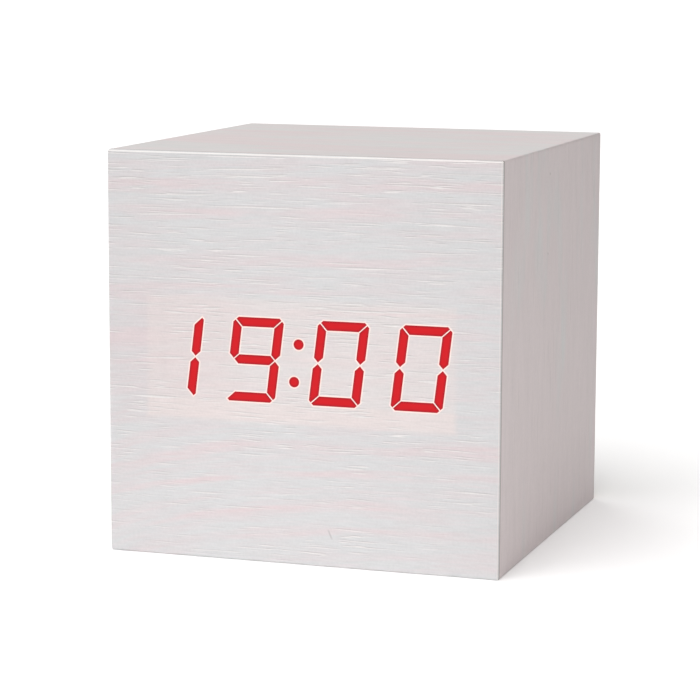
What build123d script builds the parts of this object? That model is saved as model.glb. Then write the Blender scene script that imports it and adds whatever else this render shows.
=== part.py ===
from build123d import *
import math
import os

# Wood-look cube desk clock. Millimetres. Origin at the centre of the base,
# X to the right, Y towards the back, Z up. The figures face -Y.

# Case: a square tube of four boards mitred at the corners
wall = 4.0
edge_bevel = 0.25
veneer_thickness = 0.5
front_board_thickness = 3.0
block_side = 6.5
block_length = 12.0
overrun = 1.0

# Figures, read from the front; the slant is in degrees
figure_height = 12.8
figure_width = 8.0
stroke = 1.38
segment_gap = 0.22
corner_cut = 0.75
figure_slant = 7.0
figure_space = 4.8
middle_space = 5.4
display_offset_x = -0.6
colon_dot_diameter = 1.55
colon_dot_spacing = 5.7
colon_drop = 0.2
dot_clearance = 0.02
figures_shown = ["one", "nine", "zero", "zero"]
segments_of_figure = {"zero": "abcdef", "one": "bc", "nine": "abcdfg"}

# Display module and its board
module_side_margin = 0.85
module_end_margin = 2.6
module_depth = 7.0
module_drop = 0.1
window_clearance = 0.2
window_rim = 1.6
led_chip_side = 0.7
led_chip_height = 0.3
led_chip_gap = 0.2
pcb_thickness = 1.6
display_board_side_gap = 0.5
display_board_end_gap = 5.0
display_screw_inset_x = 4.5
display_screw_inset_z = 5.0
display_screw_bite_share = 0.8
spacer_diameter = 5.0
spacer_play = 0.1
small_screw_shank = 2.0
small_screw_head = 3.6
small_screw_head_height = 1.3
screw_clearance = 0.05
screw_tip_gap = 0.2
drive_slot_share = 0.6
drive_slot_width_share = 0.2
drive_depth_share = 0.6

# Small parts on the back of the display board, from its upper edge down
header_row_drop = 2.5
resistor_row_drop = 5.5
driver_row_drop = 7.2
transistor_row_drop = 9.3
driver_length = 17.9
driver_width = 7.5
driver_height = 2.4
driver_lead_count = 14
driver_x = -7.0
controller_side = 7.0
controller_height = 1.2
controller_lead_count = 8
controller_gap = 1.0
lead_reach = 1.0
lead_thickness = 0.2
lead_width_share = 0.4
chip_standoff = 0.1
resistor_length = 2.0
resistor_width = 1.25
resistor_height = 0.5
resistor_count = 8
resistor_space = 1.0
resistor_x = -17.5
transistor_length = 2.9
transistor_width = 1.3
transistor_height = 1.0
transistor_count = 4
transistor_space = 1.1
transistor_x = -19.0
crystal_length = 5.0
crystal_width = 3.2
crystal_height = 1.0
crystal_gap = 1.5
capacitor_diameter = 5.0
capacitor_length = 7.0
capacitor_x = -12.0
capacitor_rise = 11.0
sensor_diameter = 1.8
sensor_length = 2.6
sensor_leg = 0.4
sensor_leg_length = 1.8
sensor_gap = 3.6
coin_cell_diameter = 20.0
coin_cell_thickness = 3.2
coin_cell_x = 9.0
coin_cell_rise = 12.5
coin_tray_wall = 1.1
coin_tray_floor = 0.8
coin_clearance = 0.15
coin_clip_width = 4.0
coin_clip_thickness = 0.3

# Rear cover with its battery tub
cover_recess = 1.0
cover_thickness = 2.0
cover_clearance = 0.2
cover_screw_shank = 2.5
cover_screw_head = 4.5
cover_screw_head_height = 1.0
cover_screw_length = 11.0
head_clearance = 0.3
tub_wall = 1.6
tub_floor = 1.2
tub_side_gap = 1.15
tub_block_gap = 0.4
slot_count = 2
slot_width = 3.6
slot_height = 1.0
slot_space = 1.6

# Cells, contacts and springs
cell_count = 3
cell_diameter = 10.5
cell_length = 44.5
cell_gap = 0.2
cell_cover_gap = 0.6
nub_diameter = 3.8
nub_length = 1.0
sleeve_thickness = 0.15
sleeve_clearance = 0.02
sleeve_setback = 0.9
plate_thickness = 0.4
plate_setback = 0.95
tag_width = 2.0
tag_length = 1.4
tag_clearance = 0.15
spring_room = 3.2
spring_wire = 0.45
spring_diameter = 5.6
spring_pitch = 1.02
spring_seat_gap = 0.02

# Battery door
door_ledge = 0.4
door_lip = 1.0
door_clearance = 0.2
tab_width = 6.0
tab_x = 12.0
tab_thickness = 1.2
tab_drop = 1.4
tab_gap = 0.1
tab_slot_side = 0.4
tab_slot_back = 0.6
latch_width = 8.0
latch_leaf = 0.7
latch_opening = 0.9
latch_leg = 1.1
latch_nib_rise = 0.7
latch_below_edge = 0.1
latch_side_gap = 0.3
grip_rib_count = 3
grip_rib_length = 14.0
grip_rib_width = 0.8
grip_rib_height = 0.4
grip_rib_space = 1.1
grip_rib_drop = 5.4

# Buttons and their switches
button_count = 3
button_diameter = 4.6
button_clearance = 0.3
button_proud = 0.8
button_flange_lip = 0.8
button_flange_thickness = 0.8
button_flange_gap = 0.3
button_bevel = 0.3
button_travel = 0.3
button_stop_gap = 0.2
switch_space = 1.7
switch_wall = 0.5
switch_floor = 0.8
switch_cover_thickness = 0.2
switch_cover_tab = 1.6
plunger_diameter = 3.4
plunger_flange_lip = 0.5
plunger_flange_thickness = 1.35
plunger_play = 0.1
dome_rise = 0.8
dome_gap = 0.05
dome_thickness = 0.15
terminal_width = 0.8
terminal_thickness = 0.25
terminal_reach = 0.8
terminal_share = 0.65

# Control board behind the cover
control_strip = 11.8
control_board_gap = 0.6
control_board_side_gap = 0.2
boss_diameter = 4.4
boss_inset = 0.2
boss_gap = 0.5
control_screw_length = 5.0
buzzer_diameter = 9.0
buzzer_height = 4.0
buzzer_hole = 1.6
buzzer_gap = 0.4
microphone_diameter = 5.4
microphone_length = 2.6
microphone_hole = 1.2

# Power socket
socket_bore = 3.7
socket_nose_wall = 0.95
socket_nose_clearance = 0.2
socket_nose_setback = 0.1
socket_shoulder = 0.4
socket_gap = 1.2
socket_bore_depth = 5.4
socket_pin_diameter = 1.25
socket_pin_setback = 1.0
socket_contact_width = 1.2
socket_contact_thickness = 0.25
socket_contact_length = 4.2

# Wires inside
lead_diameter = 1.0
microphone_lead_diameter = 0.8
microphone_lead_spread = 1.2
bend_share = 0.45
ribbon_width = 6.0
ribbon_thickness = 0.9
ribbon_sag = 1.6
ribbon_run_shares = [0.18, 0.46, 0.8]
header_end = 1.0
header_width = 2.6
header_height = 3.0
solder_row_rise = 1.4
red_lead_x = 2.6
black_lead_x = -5.6
microphone_lead_x = -1.6
red_lead_shares = [(0, 0.13, 0), (0.18, 0.17, 0.32), (0.56, 0.15, 0.69), (0.9, 0.06, 0.93), (1, -0.06, 1)]
black_lead_shares = [(0, 0.11, 0), (0.37, 0.15, 0.54), (0.82, 0.08, 0.9), (1, -0.03, 1)]
microphone_lead_shares = [
    (0, 0.15, 0),
    (0.1, 0.28, 0.03),
    (0.3, 0.36, 0.25),
    (0.6, 0.38, 0.55),
    (0.9, 0.35, 0.83),
    (1, 0.2, 1),
]

# Pieces that are sized by what they hold
figure_lean = figure_height * math.tan(math.radians(figure_slant))
figure_pitch = figure_width + figure_space
middle_pitch = figure_width + middle_space
module_width = 2 * figure_pitch + middle_pitch + figure_width + figure_lean + 2 * module_side_margin
module_height = figure_height + 2 * module_end_margin
plunger_flange_diameter = plunger_diameter + 2 * plunger_flange_lip
switch_cavity_diameter = plunger_flange_diameter + 2 * button_clearance
dome_diameter = plunger_flange_diameter
switch_side = switch_cavity_diameter + 2 * switch_wall
switch_height = switch_floor + dome_rise + dome_gap + plunger_flange_thickness + plunger_play
button_pitch = switch_side + switch_space
button_flange_diameter = button_diameter + 2 * button_flange_lip
socket_nose_diameter = socket_bore + 2 * socket_nose_wall
socket_side = socket_nose_diameter + 2 * socket_shoulder
header_length = ribbon_width + 2 * header_end
cell_pitch = cell_diameter + cell_gap
tub_half = (cell_length + spring_room) / 2 + plate_thickness
lower_strip = block_side + tub_block_gap

# The case is a cube, as large as the largest of what it holds
tub_row = 2 * (tub_half + tub_wall + tub_side_gap)
module_row = module_width + 2 * (window_clearance + window_rim)
upright_stack = lower_strip + cell_count * cell_pitch + 2 * tub_wall + control_strip
boss_row = boss_diameter + boss_inset + boss_gap + control_board_side_gap + block_side
switch_row = (button_count - 1) * button_pitch + switch_side
control_row = 2 * boss_row + switch_row + socket_gap + socket_side
inner_side = max(tub_row, module_row, upright_stack, control_row)
case_side = inner_side + 2 * wall

# Places that follow from the sizes above
half_side = case_side / 2
inner_half = inner_side / 2
case_middle_z = half_side
module_z = case_middle_z - module_drop
front_y = -half_side
back_y = half_side
veneer_back_y = front_y + veneer_thickness
front_board_back_y = veneer_back_y + front_board_thickness
display_front_y = veneer_back_y + module_depth
display_back_y = display_front_y + pcb_thickness
display_half_width = inner_half - display_board_side_gap
display_half_height = inner_half - display_board_end_gap
header_z = case_middle_z + display_half_height - header_row_drop
resistor_z = header_z - resistor_row_drop
driver_z = resistor_z - driver_row_drop
transistor_z = driver_z - transistor_row_drop
crystal_x = driver_x - driver_length / 2 - crystal_gap - crystal_width
capacitor_z = case_middle_z - display_half_height + capacitor_rise
coin_cell_z = case_middle_z - display_half_height + coin_cell_rise
cover_back_y = back_y - cover_recess
cover_front_y = cover_back_y - cover_thickness
cover_half = inner_half - cover_clearance
button_flange_back_y = cover_front_y - button_flange_gap
button_flange_front_y = button_flange_back_y - button_flange_thickness
switch_cover_top_y = button_flange_front_y - button_travel - button_stop_gap
switch_top_y = switch_cover_top_y - switch_cover_thickness
control_back_y = switch_top_y - switch_height
control_front_y = control_back_y - pcb_thickness
block_offset = inner_half - block_side / 2
tub_bottom_z = wall + lower_strip + tub_wall
tub_top_z = tub_bottom_z + cell_count * cell_pitch
door_seat_y = cover_front_y + door_ledge
tub_front_y = door_seat_y - cell_diameter - cell_cover_gap
tub_outside_y = tub_front_y - tub_floor
tag_end_y = tub_outside_y - tag_length
cell_y = tub_front_y + cell_pitch / 2
plate_half = cell_pitch / 2 - plate_setback
door_half = tub_half + door_lip
door_bottom_z = tub_bottom_z - door_lip
door_top_z = tub_top_z + door_lip
latch_z = door_top_z - latch_below_edge
control_half_width = inner_half - block_side - control_board_side_gap
control_half_height = (case_side - wall - tub_top_z - tub_wall) / 2 - control_board_gap
button_z = (case_side - wall + tub_top_z + tub_wall) / 2
boss_x = control_half_width - boss_inset - boss_diameter / 2
socket_x = boss_x - boss_diameter / 2 - boss_gap - socket_side / 2
last_button_x = socket_x - socket_side / 2 - socket_gap - switch_side / 2
buzzer_x = -boss_x + small_screw_head / 2 + buzzer_gap + buzzer_diameter / 2
controller_x = header_length / 2 + controller_gap + lead_reach + controller_side / 2
solder_z = button_z - control_half_height + solder_row_rise


def block(x0, x1, y0, y1, z0, z1):
    """A box between two planes each way."""
    middle = Pos((x0 + x1) / 2, (y0 + y1) / 2, (z0 + z1) / 2)
    return middle * Box(x1 - x0, y1 - y0, z1 - z0)


def rod(x, z, y0, y1, diameter):
    """A round bar along Y."""
    bar = Cylinder(diameter / 2, y1 - y0)
    return Pos(x, (y0 + y1) / 2, z) * Rot(90, 0, 0) * bar


def rod_along_x(y, z, x0, x1, diameter):
    """A round bar along X."""
    bar = Cylinder(diameter / 2, x1 - x0)
    return Pos((x0 + x1) / 2, y, z) * Rot(0, 90, 0) * bar


def prism(points, y0, y1):
    """An outline of (x, z) points, made solid from y0 to y1."""
    plane = Plane(origin=(0, y0, 0), x_dir=(1, 0, 0), z_dir=(0, -1, 0))
    outline = plane * Polygon(*points, align=None)
    return extrude(outline, amount=y1 - y0, dir=(0, 1, 0))


def save(name, solids):
    """Write one node; a list becomes a group of separate solids."""
    group = solids if isinstance(solids, list) else [solids]
    pieces = [piece for item in group for piece in item.solids()]
    shape = pieces[0] if len(pieces) == 1 else Compound(children=pieces)
    export_step(shape, f"parts/{name}.step")
    print(name, len(pieces))


# Case boards

def case_tube():
    """The whole square tube, its outer edges slightly bevelled."""
    tube = block(-half_side, half_side, veneer_back_y, back_y, 0, case_side)
    tube = chamfer(tube.edges().filter_by(Axis.Y), edge_bevel)
    tube = chamfer(tube.faces().sort_by(Axis.Y)[-1].edges(), edge_bevel)
    hollow = block(-inner_half, inner_half, front_y, back_y + overrun, wall, case_side - wall)
    return tube - hollow


def mitred_board(quarter_turns):
    """One board of the tube, cut out between the two mitres."""
    reach = half_side + overrun
    wedge = prism([(0, 0), (-reach, reach), (reach, reach)], front_y, back_y + overrun)
    wedge = Pos(0, 0, case_middle_z) * Rot(0, 90 * quarter_turns, 0) * wedge
    return case_tube() & wedge


def make_case():
    for quarter_turns, name in enumerate(["top_panel", "right_panel", "bottom_panel", "left_panel"]):
        save(name, mitred_board(quarter_turns))


# Figures

def segment_outlines():
    """The seven segment outlines about a figure's centre, upright."""
    w = figure_width / 2
    h = figure_height / 2
    t = stroke
    c = corner_cut
    d = segment_gap / math.sqrt(2)
    top = [(-(w - c), h), (w - c, h), (w - (c + d) / 2, h - (c - d) / 2), (w - t - d, h - t)]
    top += [(-(w - t - d), h - t), (-(w - (c + d) / 2), h - (c - d) / 2)]
    upper = [(w, h - c), (w - (c - d) / 2, h - (c + d) / 2), (w - t, h - t - d)]
    upper += [(w - t, d + t / 2), (w - t / 2, d), (w, d + t / 2)]
    middle = [(w - t / 2 - d, 0), (w - t - d, t / 2), (-(w - t - d), t / 2)]
    middle += [(-(w - t / 2 - d), 0), (-(w - t - d), -t / 2), (w - t - d, -t / 2)]
    return {
        "a": top,
        "b": upper,
        "c": [(x, -z) for x, z in upper],
        "d": [(x, -z) for x, z in top],
        "e": [(-x, -z) for x, z in upper],
        "f": [(-x, z) for x, z in upper],
        "g": middle,
    }


def slanted(points, x, z):
    """An upright outline leaned over and moved to its figure's centre."""
    lean = math.tan(math.radians(figure_slant))
    return [(x + u + v * lean, z + v) for u, v in points]


def figure_centres():
    left = display_offset_x - middle_pitch / 2
    right = display_offset_x + middle_pitch / 2
    return [left - figure_pitch, left, right, right + figure_pitch]


def colon_centres():
    lean = math.tan(math.radians(figure_slant))
    rises = [-colon_dot_spacing / 2, colon_dot_spacing / 2]
    return [(display_offset_x + rise * lean, case_middle_z - colon_drop + rise) for rise in rises]


def segment_solids(y0, y1, lit_only):
    """Every segment, or only the lit ones, from y0 to y1."""
    solids = []
    for figure, centre in zip(figures_shown, figure_centres()):
        for letter, outline in segment_outlines().items():
            if letter in segments_of_figure[figure] or not lit_only:
                solids.append(prism(slanted(outline, centre, case_middle_z), y0, y1))
    return solids


def dot_solids(y0, y1, diameter):
    return [rod(x, z, y0, y1, diameter) for x, z in colon_centres()]


def make_front():
    """The veneer sheet, the lit zones in it, and the board behind it."""
    veneer = block(-half_side, half_side, front_y, veneer_back_y, 0, case_side)
    veneer = chamfer(veneer.edges().filter_by(Axis.Y), edge_bevel)
    veneer = chamfer(veneer.faces().sort_by(Axis.Y)[0].edges(), edge_bevel)
    cuts = segment_solids(front_y - overrun, veneer_back_y + overrun, True)
    cuts += dot_solids(front_y - overrun, veneer_back_y + overrun, colon_dot_diameter)
    save("front_veneer", veneer - cuts)

    zones = segment_solids(front_y, veneer_back_y, True)
    zones += dot_solids(front_y, veneer_back_y, colon_dot_diameter - 2 * dot_clearance)
    save("lit_segments", zones)

    board = block(-inner_half, inner_half, veneer_back_y, front_board_back_y, wall, case_side - wall)
    half_width = module_width / 2 + window_clearance
    half_height = module_height / 2 + window_clearance
    window = block(
        display_offset_x - half_width,
        display_offset_x + half_width,
        veneer_back_y - overrun,
        front_board_back_y + overrun,
        module_z - half_height,
        module_z + half_height,
    )
    board = board - window
    screw_tip_y = display_back_y - display_screw_length() - screw_tip_gap
    for x, z in display_screw_places():
        hole = small_screw_shank + 2 * screw_clearance
        board -= rod(x, z, screw_tip_y, front_board_back_y + overrun, hole)
    save("front_board", board)


# Display module

def make_display():
    """The white reflector, the clear fills of its wells and the light chips."""
    reflector = block(
        display_offset_x - module_width / 2,
        display_offset_x + module_width / 2,
        veneer_back_y,
        display_front_y,
        module_z - module_height / 2,
        module_z + module_height / 2,
    )
    wells = segment_solids(veneer_back_y - overrun, display_front_y + overrun, False)
    wells += dot_solids(veneer_back_y - overrun, display_front_y + overrun, colon_dot_diameter)
    save("display_reflector", reflector - wells)

    guide_end_y = display_front_y - led_chip_height - led_chip_gap
    guides = segment_solids(veneer_back_y, guide_end_y, False)
    guides += dot_solids(veneer_back_y, guide_end_y, colon_dot_diameter - 2 * dot_clearance)
    save("segment_light_guides", guides)

    half_chip = led_chip_side / 2
    chips = []
    places = list(colon_centres())
    for centre in figure_centres():
        for outline in segment_outlines().values():
            points = slanted(outline, centre, case_middle_z)
            x = sum(point[0] for point in points) / len(points)
            z = sum(point[1] for point in points) / len(points)
            places.append((x, z))
    for x, z in places:
        chips.append(
            block(
                x - half_chip,
                x + half_chip,
                display_front_y - led_chip_height,
                display_front_y,
                z - half_chip,
                z + half_chip,
            )
        )
    save("led_chips", chips)


def display_screw_places():
    x = display_half_width - display_screw_inset_x
    rise = display_half_height - display_screw_inset_z
    return [(side * x, case_middle_z + way * rise) for side in [-1, 1] for way in [-1, 1]]


def display_screw_length():
    """Through the board and a spacer, and most of the way into the front board."""
    bite = front_board_thickness * display_screw_bite_share
    return pcb_thickness + display_front_y - front_board_back_y + bite


def screw_along_y(x, z, head_y, way, shank, head, head_height, length):
    """A pan-head screw; way is +1 where it points to +Y, and -1 to -Y."""
    top_y = head_y - way * head_height
    tip_y = head_y + way * length
    body = rod(x, z, min(head_y, top_y), max(head_y, top_y), head)
    body += rod(x, z, min(head_y, tip_y), max(head_y, tip_y), shank)
    half_slot = head * drive_slot_share / 2
    half_width = head * drive_slot_width_share / 2
    floor_y = top_y + way * head_height * drive_depth_share
    outer_y = top_y - way * overrun
    near = min(floor_y, outer_y)
    far = max(floor_y, outer_y)
    cross = block(x - half_slot, x + half_slot, near, far, z - half_width, z + half_width)
    cross += block(x - half_width, x + half_width, near, far, z - half_slot, z + half_slot)
    return body - cross


def make_display_board():
    """The board that carries the display, on four spacers."""
    board = block(
        -display_half_width,
        display_half_width,
        display_front_y,
        display_back_y,
        case_middle_z - display_half_height,
        case_middle_z + display_half_height,
    )
    hole = small_screw_shank + 2 * screw_clearance
    spacers = []
    screws = []
    for x, z in display_screw_places():
        board -= rod(x, z, display_front_y - overrun, display_back_y + overrun, hole)
        spacer = rod(x, z, front_board_back_y, display_front_y, spacer_diameter)
        bore_diameter = small_screw_shank + 2 * spacer_play
        bore = rod(x, z, front_board_back_y - overrun, display_front_y + overrun, bore_diameter)
        spacers.append(spacer - bore)
        screws.append(
            screw_along_y(
                x,
                z,
                display_back_y,
                -1,
                small_screw_shank,
                small_screw_head,
                small_screw_head_height,
                display_screw_length(),
            )
        )
    save("display_board", board)
    save("display_board_spacers", spacers)
    save("display_board_screws", screws)


def leads_on_side(length, count, reach, board_y, way, height):
    """A row of bent leads along X, beyond Z = 0, for a chip seated on board_y."""
    pitch = length / count
    half_width = pitch * lead_width_share / 2
    rise = height / 2
    leads = []
    for number in range(count):
        x = -length / 2 + pitch * (number + 1 / 2)
        near = min(board_y, board_y + way * lead_thickness)
        far = max(board_y, board_y + way * lead_thickness)
        foot = block(x - half_width, x + half_width, near, far, lead_thickness, reach)
        low = min(board_y, board_y + way * rise)
        high = max(board_y, board_y + way * rise)
        leg = block(x - half_width, x + half_width, low, high, 0, lead_thickness)
        leads.append(foot + leg)
    return leads


def make_chips():
    """The display driver, the controller and the leads of both."""
    driver = block(
        driver_x - driver_length / 2,
        driver_x + driver_length / 2,
        display_back_y + chip_standoff,
        display_back_y + chip_standoff + driver_height,
        driver_z - driver_width / 2,
        driver_z + driver_width / 2,
    )
    save("display_driver_chip", driver)
    half = controller_side / 2
    controller = block(
        controller_x - half,
        controller_x + half,
        control_front_y - chip_standoff - controller_height,
        control_front_y - chip_standoff,
        button_z - half,
        button_z + half,
    )
    save("controller_chip", controller)

    leads = []
    for turn in [0, 180]:
        row = leads_on_side(driver_length, driver_lead_count, lead_reach, display_back_y, 1, driver_height)
        for lead in row:
            seated = Pos(0, 0, driver_width / 2) * lead
            leads.append(Pos(driver_x, 0, driver_z) * Rot(0, turn, 0) * seated)
    for turn in [0, 90, 180, 270]:
        row = leads_on_side(
            controller_side,
            controller_lead_count,
            lead_reach,
            control_front_y,
            -1,
            controller_height,
        )
        for lead in row:
            seated = Pos(0, 0, controller_side / 2) * lead
            leads.append(Pos(controller_x, 0, button_z) * Rot(0, turn, 0) * seated)
    save("chip_leads", leads)


def parts_in_row(count, pitch, x, z, length, height, width):
    """Small blocks in a row on the back of the display board."""
    row = []
    for number in range(count):
        middle = x + number * pitch
        row.append(
            block(
                middle - length / 2,
                middle + length / 2,
                display_back_y,
                display_back_y + height,
                z - width / 2,
                z + width / 2,
            )
        )
    return row


def make_display_board_parts():
    save(
        "segment_resistors",
        parts_in_row(
            resistor_count,
            resistor_length + resistor_space,
            resistor_x,
            resistor_z,
            resistor_length,
            resistor_height,
            resistor_width,
        ),
    )
    save(
        "digit_transistors",
        parts_in_row(
            transistor_count,
            transistor_length + transistor_space,
            transistor_x,
            transistor_z,
            transistor_length,
            transistor_height,
            transistor_width,
        ),
    )
    save(
        "clock_crystal",
        parts_in_row(1, 0, crystal_x, driver_z, crystal_width, crystal_height, crystal_length),
    )
    capacitor = rod(
        capacitor_x,
        capacitor_z,
        display_back_y,
        display_back_y + capacitor_length,
        capacitor_diameter,
    )
    save("smoothing_capacitor", capacitor)

    sensor_x = capacitor_x - capacitor_diameter / 2 - sensor_gap - sensor_diameter / 2
    bead_y = display_back_y + sensor_leg_length
    sensor = rod(sensor_x, capacitor_z, bead_y, bead_y + sensor_length, sensor_diameter)
    for side in [-1, 1]:
        x = sensor_x + side * sensor_diameter / 4
        sensor += rod(x, capacitor_z, display_back_y, bead_y, sensor_leg)
    save("temperature_sensor", sensor)


def make_coin_cell():
    """The back-up cell in its tray, held down by a sprung strap."""
    tray_top_y = display_back_y + coin_tray_floor + coin_cell_thickness
    pocket = coin_cell_diameter + 2 * coin_clearance
    outside = pocket + 2 * coin_tray_wall
    floor_y = display_back_y + coin_tray_floor
    tray = rod(coin_cell_x, coin_cell_z, display_back_y, tray_top_y, outside)
    tray -= rod(coin_cell_x, coin_cell_z, floor_y, tray_top_y + overrun, pocket)
    save("coin_cell_holder", tray)
    save("coin_cell", rod(coin_cell_x, coin_cell_z, floor_y, tray_top_y, coin_cell_diameter))
    half_width = coin_clip_width / 2
    half_span = outside / 2 + coin_clip_thickness
    clip = block(
        coin_cell_x - half_width,
        coin_cell_x + half_width,
        tray_top_y,
        tray_top_y + coin_clip_thickness,
        coin_cell_z - half_span,
        coin_cell_z + half_span,
    )
    for side in [-1, 1]:
        inner = coin_cell_z + side * outside / 2
        outer = coin_cell_z + side * half_span
        clip += block(
            coin_cell_x - half_width,
            coin_cell_x + half_width,
            display_back_y,
            tray_top_y + coin_clip_thickness,
            min(inner, outer),
            max(inner, outer),
        )
    save("coin_cell_clip", clip)


# Rear cover

def cover_screw_places():
    zs = [case_middle_z - block_offset, case_middle_z + block_offset]
    return [(x, z) for x in [-block_offset, block_offset] for z in zs]


def button_places():
    steps = range(button_count - 1, -1, -1)
    return [(last_button_x - step * button_pitch, button_z) for step in steps]


def battery_tub():
    """The outside of the box that the cells lie in, up to the door's seat."""
    return block(
        -tub_half - tub_wall,
        tub_half + tub_wall,
        tub_outside_y,
        door_seat_y,
        tub_bottom_z - tub_wall,
        tub_top_z + tub_wall,
    )


def tag_places():
    """Where the two solder tags leave the tub: (side, z)."""
    return [(1, cell_centre_z(0)), (-1, cell_centre_z(cell_count - 1))]


def make_rear_cover():
    """The moulded back with tub, bosses, door rebate and every hole."""
    low = case_middle_z - cover_half
    high = case_middle_z + cover_half
    cover = block(-cover_half, cover_half, cover_front_y, cover_back_y, low, high)
    cover = chamfer(cover.faces().sort_by(Axis.Y)[-1].edges(), edge_bevel)
    cover += battery_tub()
    cover -= block(
        -tub_half,
        tub_half,
        tub_front_y,
        cover_back_y + overrun,
        tub_bottom_z,
        tub_top_z,
    )
    cover -= block(
        -door_half - door_clearance,
        door_half + door_clearance,
        door_seat_y,
        cover_back_y + overrun,
        door_bottom_z - door_clearance,
        door_top_z + door_clearance,
    )
    half_tab = tab_width / 2 + tab_slot_side
    slot_front_y = cover_front_y - tab_gap - tab_thickness - tab_slot_back
    for side in [-1, 1]:
        x = side * tab_x
        cover -= block(
            x - half_tab,
            x + half_tab,
            slot_front_y,
            cover_front_y,
            tub_bottom_z - tub_wall - overrun,
            tub_bottom_z + overrun,
        )
        cover -= block(
            x - half_tab,
            x + half_tab,
            cover_front_y,
            door_seat_y + overrun,
            door_bottom_z - door_clearance,
            tub_bottom_z + overrun,
        )
    half_latch = latch_width / 2 + latch_side_gap
    latch_front_y = door_seat_y - latch_leg - latch_leaf - latch_opening - latch_side_gap
    cover -= block(
        -half_latch,
        half_latch,
        latch_front_y,
        cover_front_y,
        tub_top_z - overrun,
        tub_top_z + tub_wall + overrun,
    )
    cover -= block(
        -half_latch,
        half_latch,
        cover_front_y,
        door_seat_y + overrun,
        tub_top_z - overrun,
        door_top_z + door_clearance,
    )
    for side in [-1, 1]:
        cover += rod(side * boss_x, button_z, control_back_y, cover_front_y, boss_diameter)
        bore_end_y = control_front_y + control_screw_length + screw_tip_gap
        bore = small_screw_shank + 2 * screw_clearance
        cover -= rod(side * boss_x, button_z, control_back_y - overrun, bore_end_y, bore)
    for x, z in cover_screw_places():
        cover -= rod(
            x, z, cover_front_y - overrun, cover_back_y + overrun, cover_screw_shank + 2 * screw_clearance
        )
        cover -= rod(
            x,
            z,
            cover_back_y - cover_screw_head_height,
            cover_back_y + overrun,
            cover_screw_head + 2 * head_clearance,
        )
    for x, z in button_places():
        hole = button_diameter + 2 * button_clearance
        cover -= rod(x, z, cover_front_y - overrun, cover_back_y + overrun, hole)
    nose_hole = socket_nose_diameter + 2 * socket_nose_clearance
    cover -= rod(socket_x, button_z, cover_front_y - overrun, cover_back_y + overrun, nose_hole)
    cover -= rod(0, microphone_z(), cover_front_y - overrun, cover_back_y + overrun, microphone_hole)
    for x in sound_slot_places():
        cover -= block(
            x - slot_width / 2,
            x + slot_width / 2,
            cover_front_y - overrun,
            cover_back_y + overrun,
            microphone_z() - slot_height / 2,
            microphone_z() + slot_height / 2,
        )
    for side, z in tag_places():
        inner = side * (tub_half - plate_thickness - tag_clearance)
        outer = side * (tub_half + tag_clearance)
        cover -= block(
            min(inner, outer),
            max(inner, outer),
            tub_outside_y - overrun,
            tub_front_y + overrun,
            z - tag_width / 2 - tag_clearance,
            z + tag_width / 2 + tag_clearance,
        )
    save("rear_cover", cover)


def sound_slot_places():
    """Slots in a row, as many on each side of the microphone's hole."""
    pitch = slot_width + slot_space
    return [side * number * pitch for side in [-1, 1] for number in range(1, slot_count + 1)]


def microphone_z():
    """The microphone sits midway between the case floor and the tub."""
    return (wall + tub_bottom_z - tub_wall) / 2


def make_corner_blocks():
    """Glue blocks in the rear corners, with the cover's screws in them."""
    blocks = []
    screws = []
    half = block_side / 2
    for x, z in cover_screw_places():
        corner = block(x - half, x + half, cover_front_y - block_length, cover_front_y, z - half, z + half)
        tip_y = cover_back_y - cover_screw_head_height - cover_screw_length - screw_tip_gap
        corner -= rod(x, z, tip_y, cover_front_y + overrun, cover_screw_shank + 2 * screw_clearance)
        blocks.append(corner)
        screws.append(
            screw_along_y(
                x,
                z,
                cover_back_y - cover_screw_head_height,
                -1,
                cover_screw_shank,
                cover_screw_head,
                cover_screw_head_height,
                cover_screw_length,
            )
        )
    save("corner_blocks", blocks)
    save("rear_cover_screws", screws)


# Battery

def cell_centre_z(number):
    return tub_bottom_z + cell_pitch * (number + 1 / 2)


def cell_way(number):
    """+1 where the cell's nub points to +X."""
    return 1 if number % 2 == 0 else -1


def make_cells():
    cans = []
    sleeves = []
    can_diameter = cell_diameter - 2 * sleeve_thickness - 2 * sleeve_clearance
    for number in range(cell_count):
        way = cell_way(number)
        nub_tip = way * (tub_half - plate_thickness)
        shoulder = nub_tip - way * nub_length
        base = nub_tip - way * cell_length
        z = cell_centre_z(number)
        can = rod_along_x(cell_y, z, min(base, shoulder), max(base, shoulder), can_diameter)
        can += rod_along_x(cell_y, z, min(shoulder, nub_tip), max(shoulder, nub_tip), nub_diameter)
        cans.append(can)
        start = base + way * sleeve_setback
        end = shoulder - way * sleeve_setback
        sleeve = rod_along_x(cell_y, z, min(start, end), max(start, end), cell_diameter)
        bore = can_diameter + 2 * sleeve_clearance
        sleeve -= rod_along_x(cell_y, z, min(base, shoulder), max(base, shoulder), bore)
        sleeves.append(sleeve)
    save("battery_cells", cans)
    save("battery_sleeves", sleeves)


def contact_plate(side, first, last):
    """A plate on the tub's end wall that covers cells first to last."""
    inner = side * (tub_half - plate_thickness)
    outer = side * tub_half
    return block(
        min(inner, outer),
        max(inner, outer),
        cell_y - plate_half,
        cell_y + plate_half,
        cell_centre_z(first) - plate_half,
        cell_centre_z(last) + plate_half,
    )


def end_terminal(side, number):
    """An end plate with the tag that its lead is soldered to."""
    inner = side * (tub_half - plate_thickness)
    outer = side * tub_half
    z = cell_centre_z(number)
    tag = block(
        min(inner, outer),
        max(inner, outer),
        tag_end_y,
        cell_y,
        z - tag_width / 2,
        z + tag_width / 2,
    )
    return contact_plate(side, number, number) + tag


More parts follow.
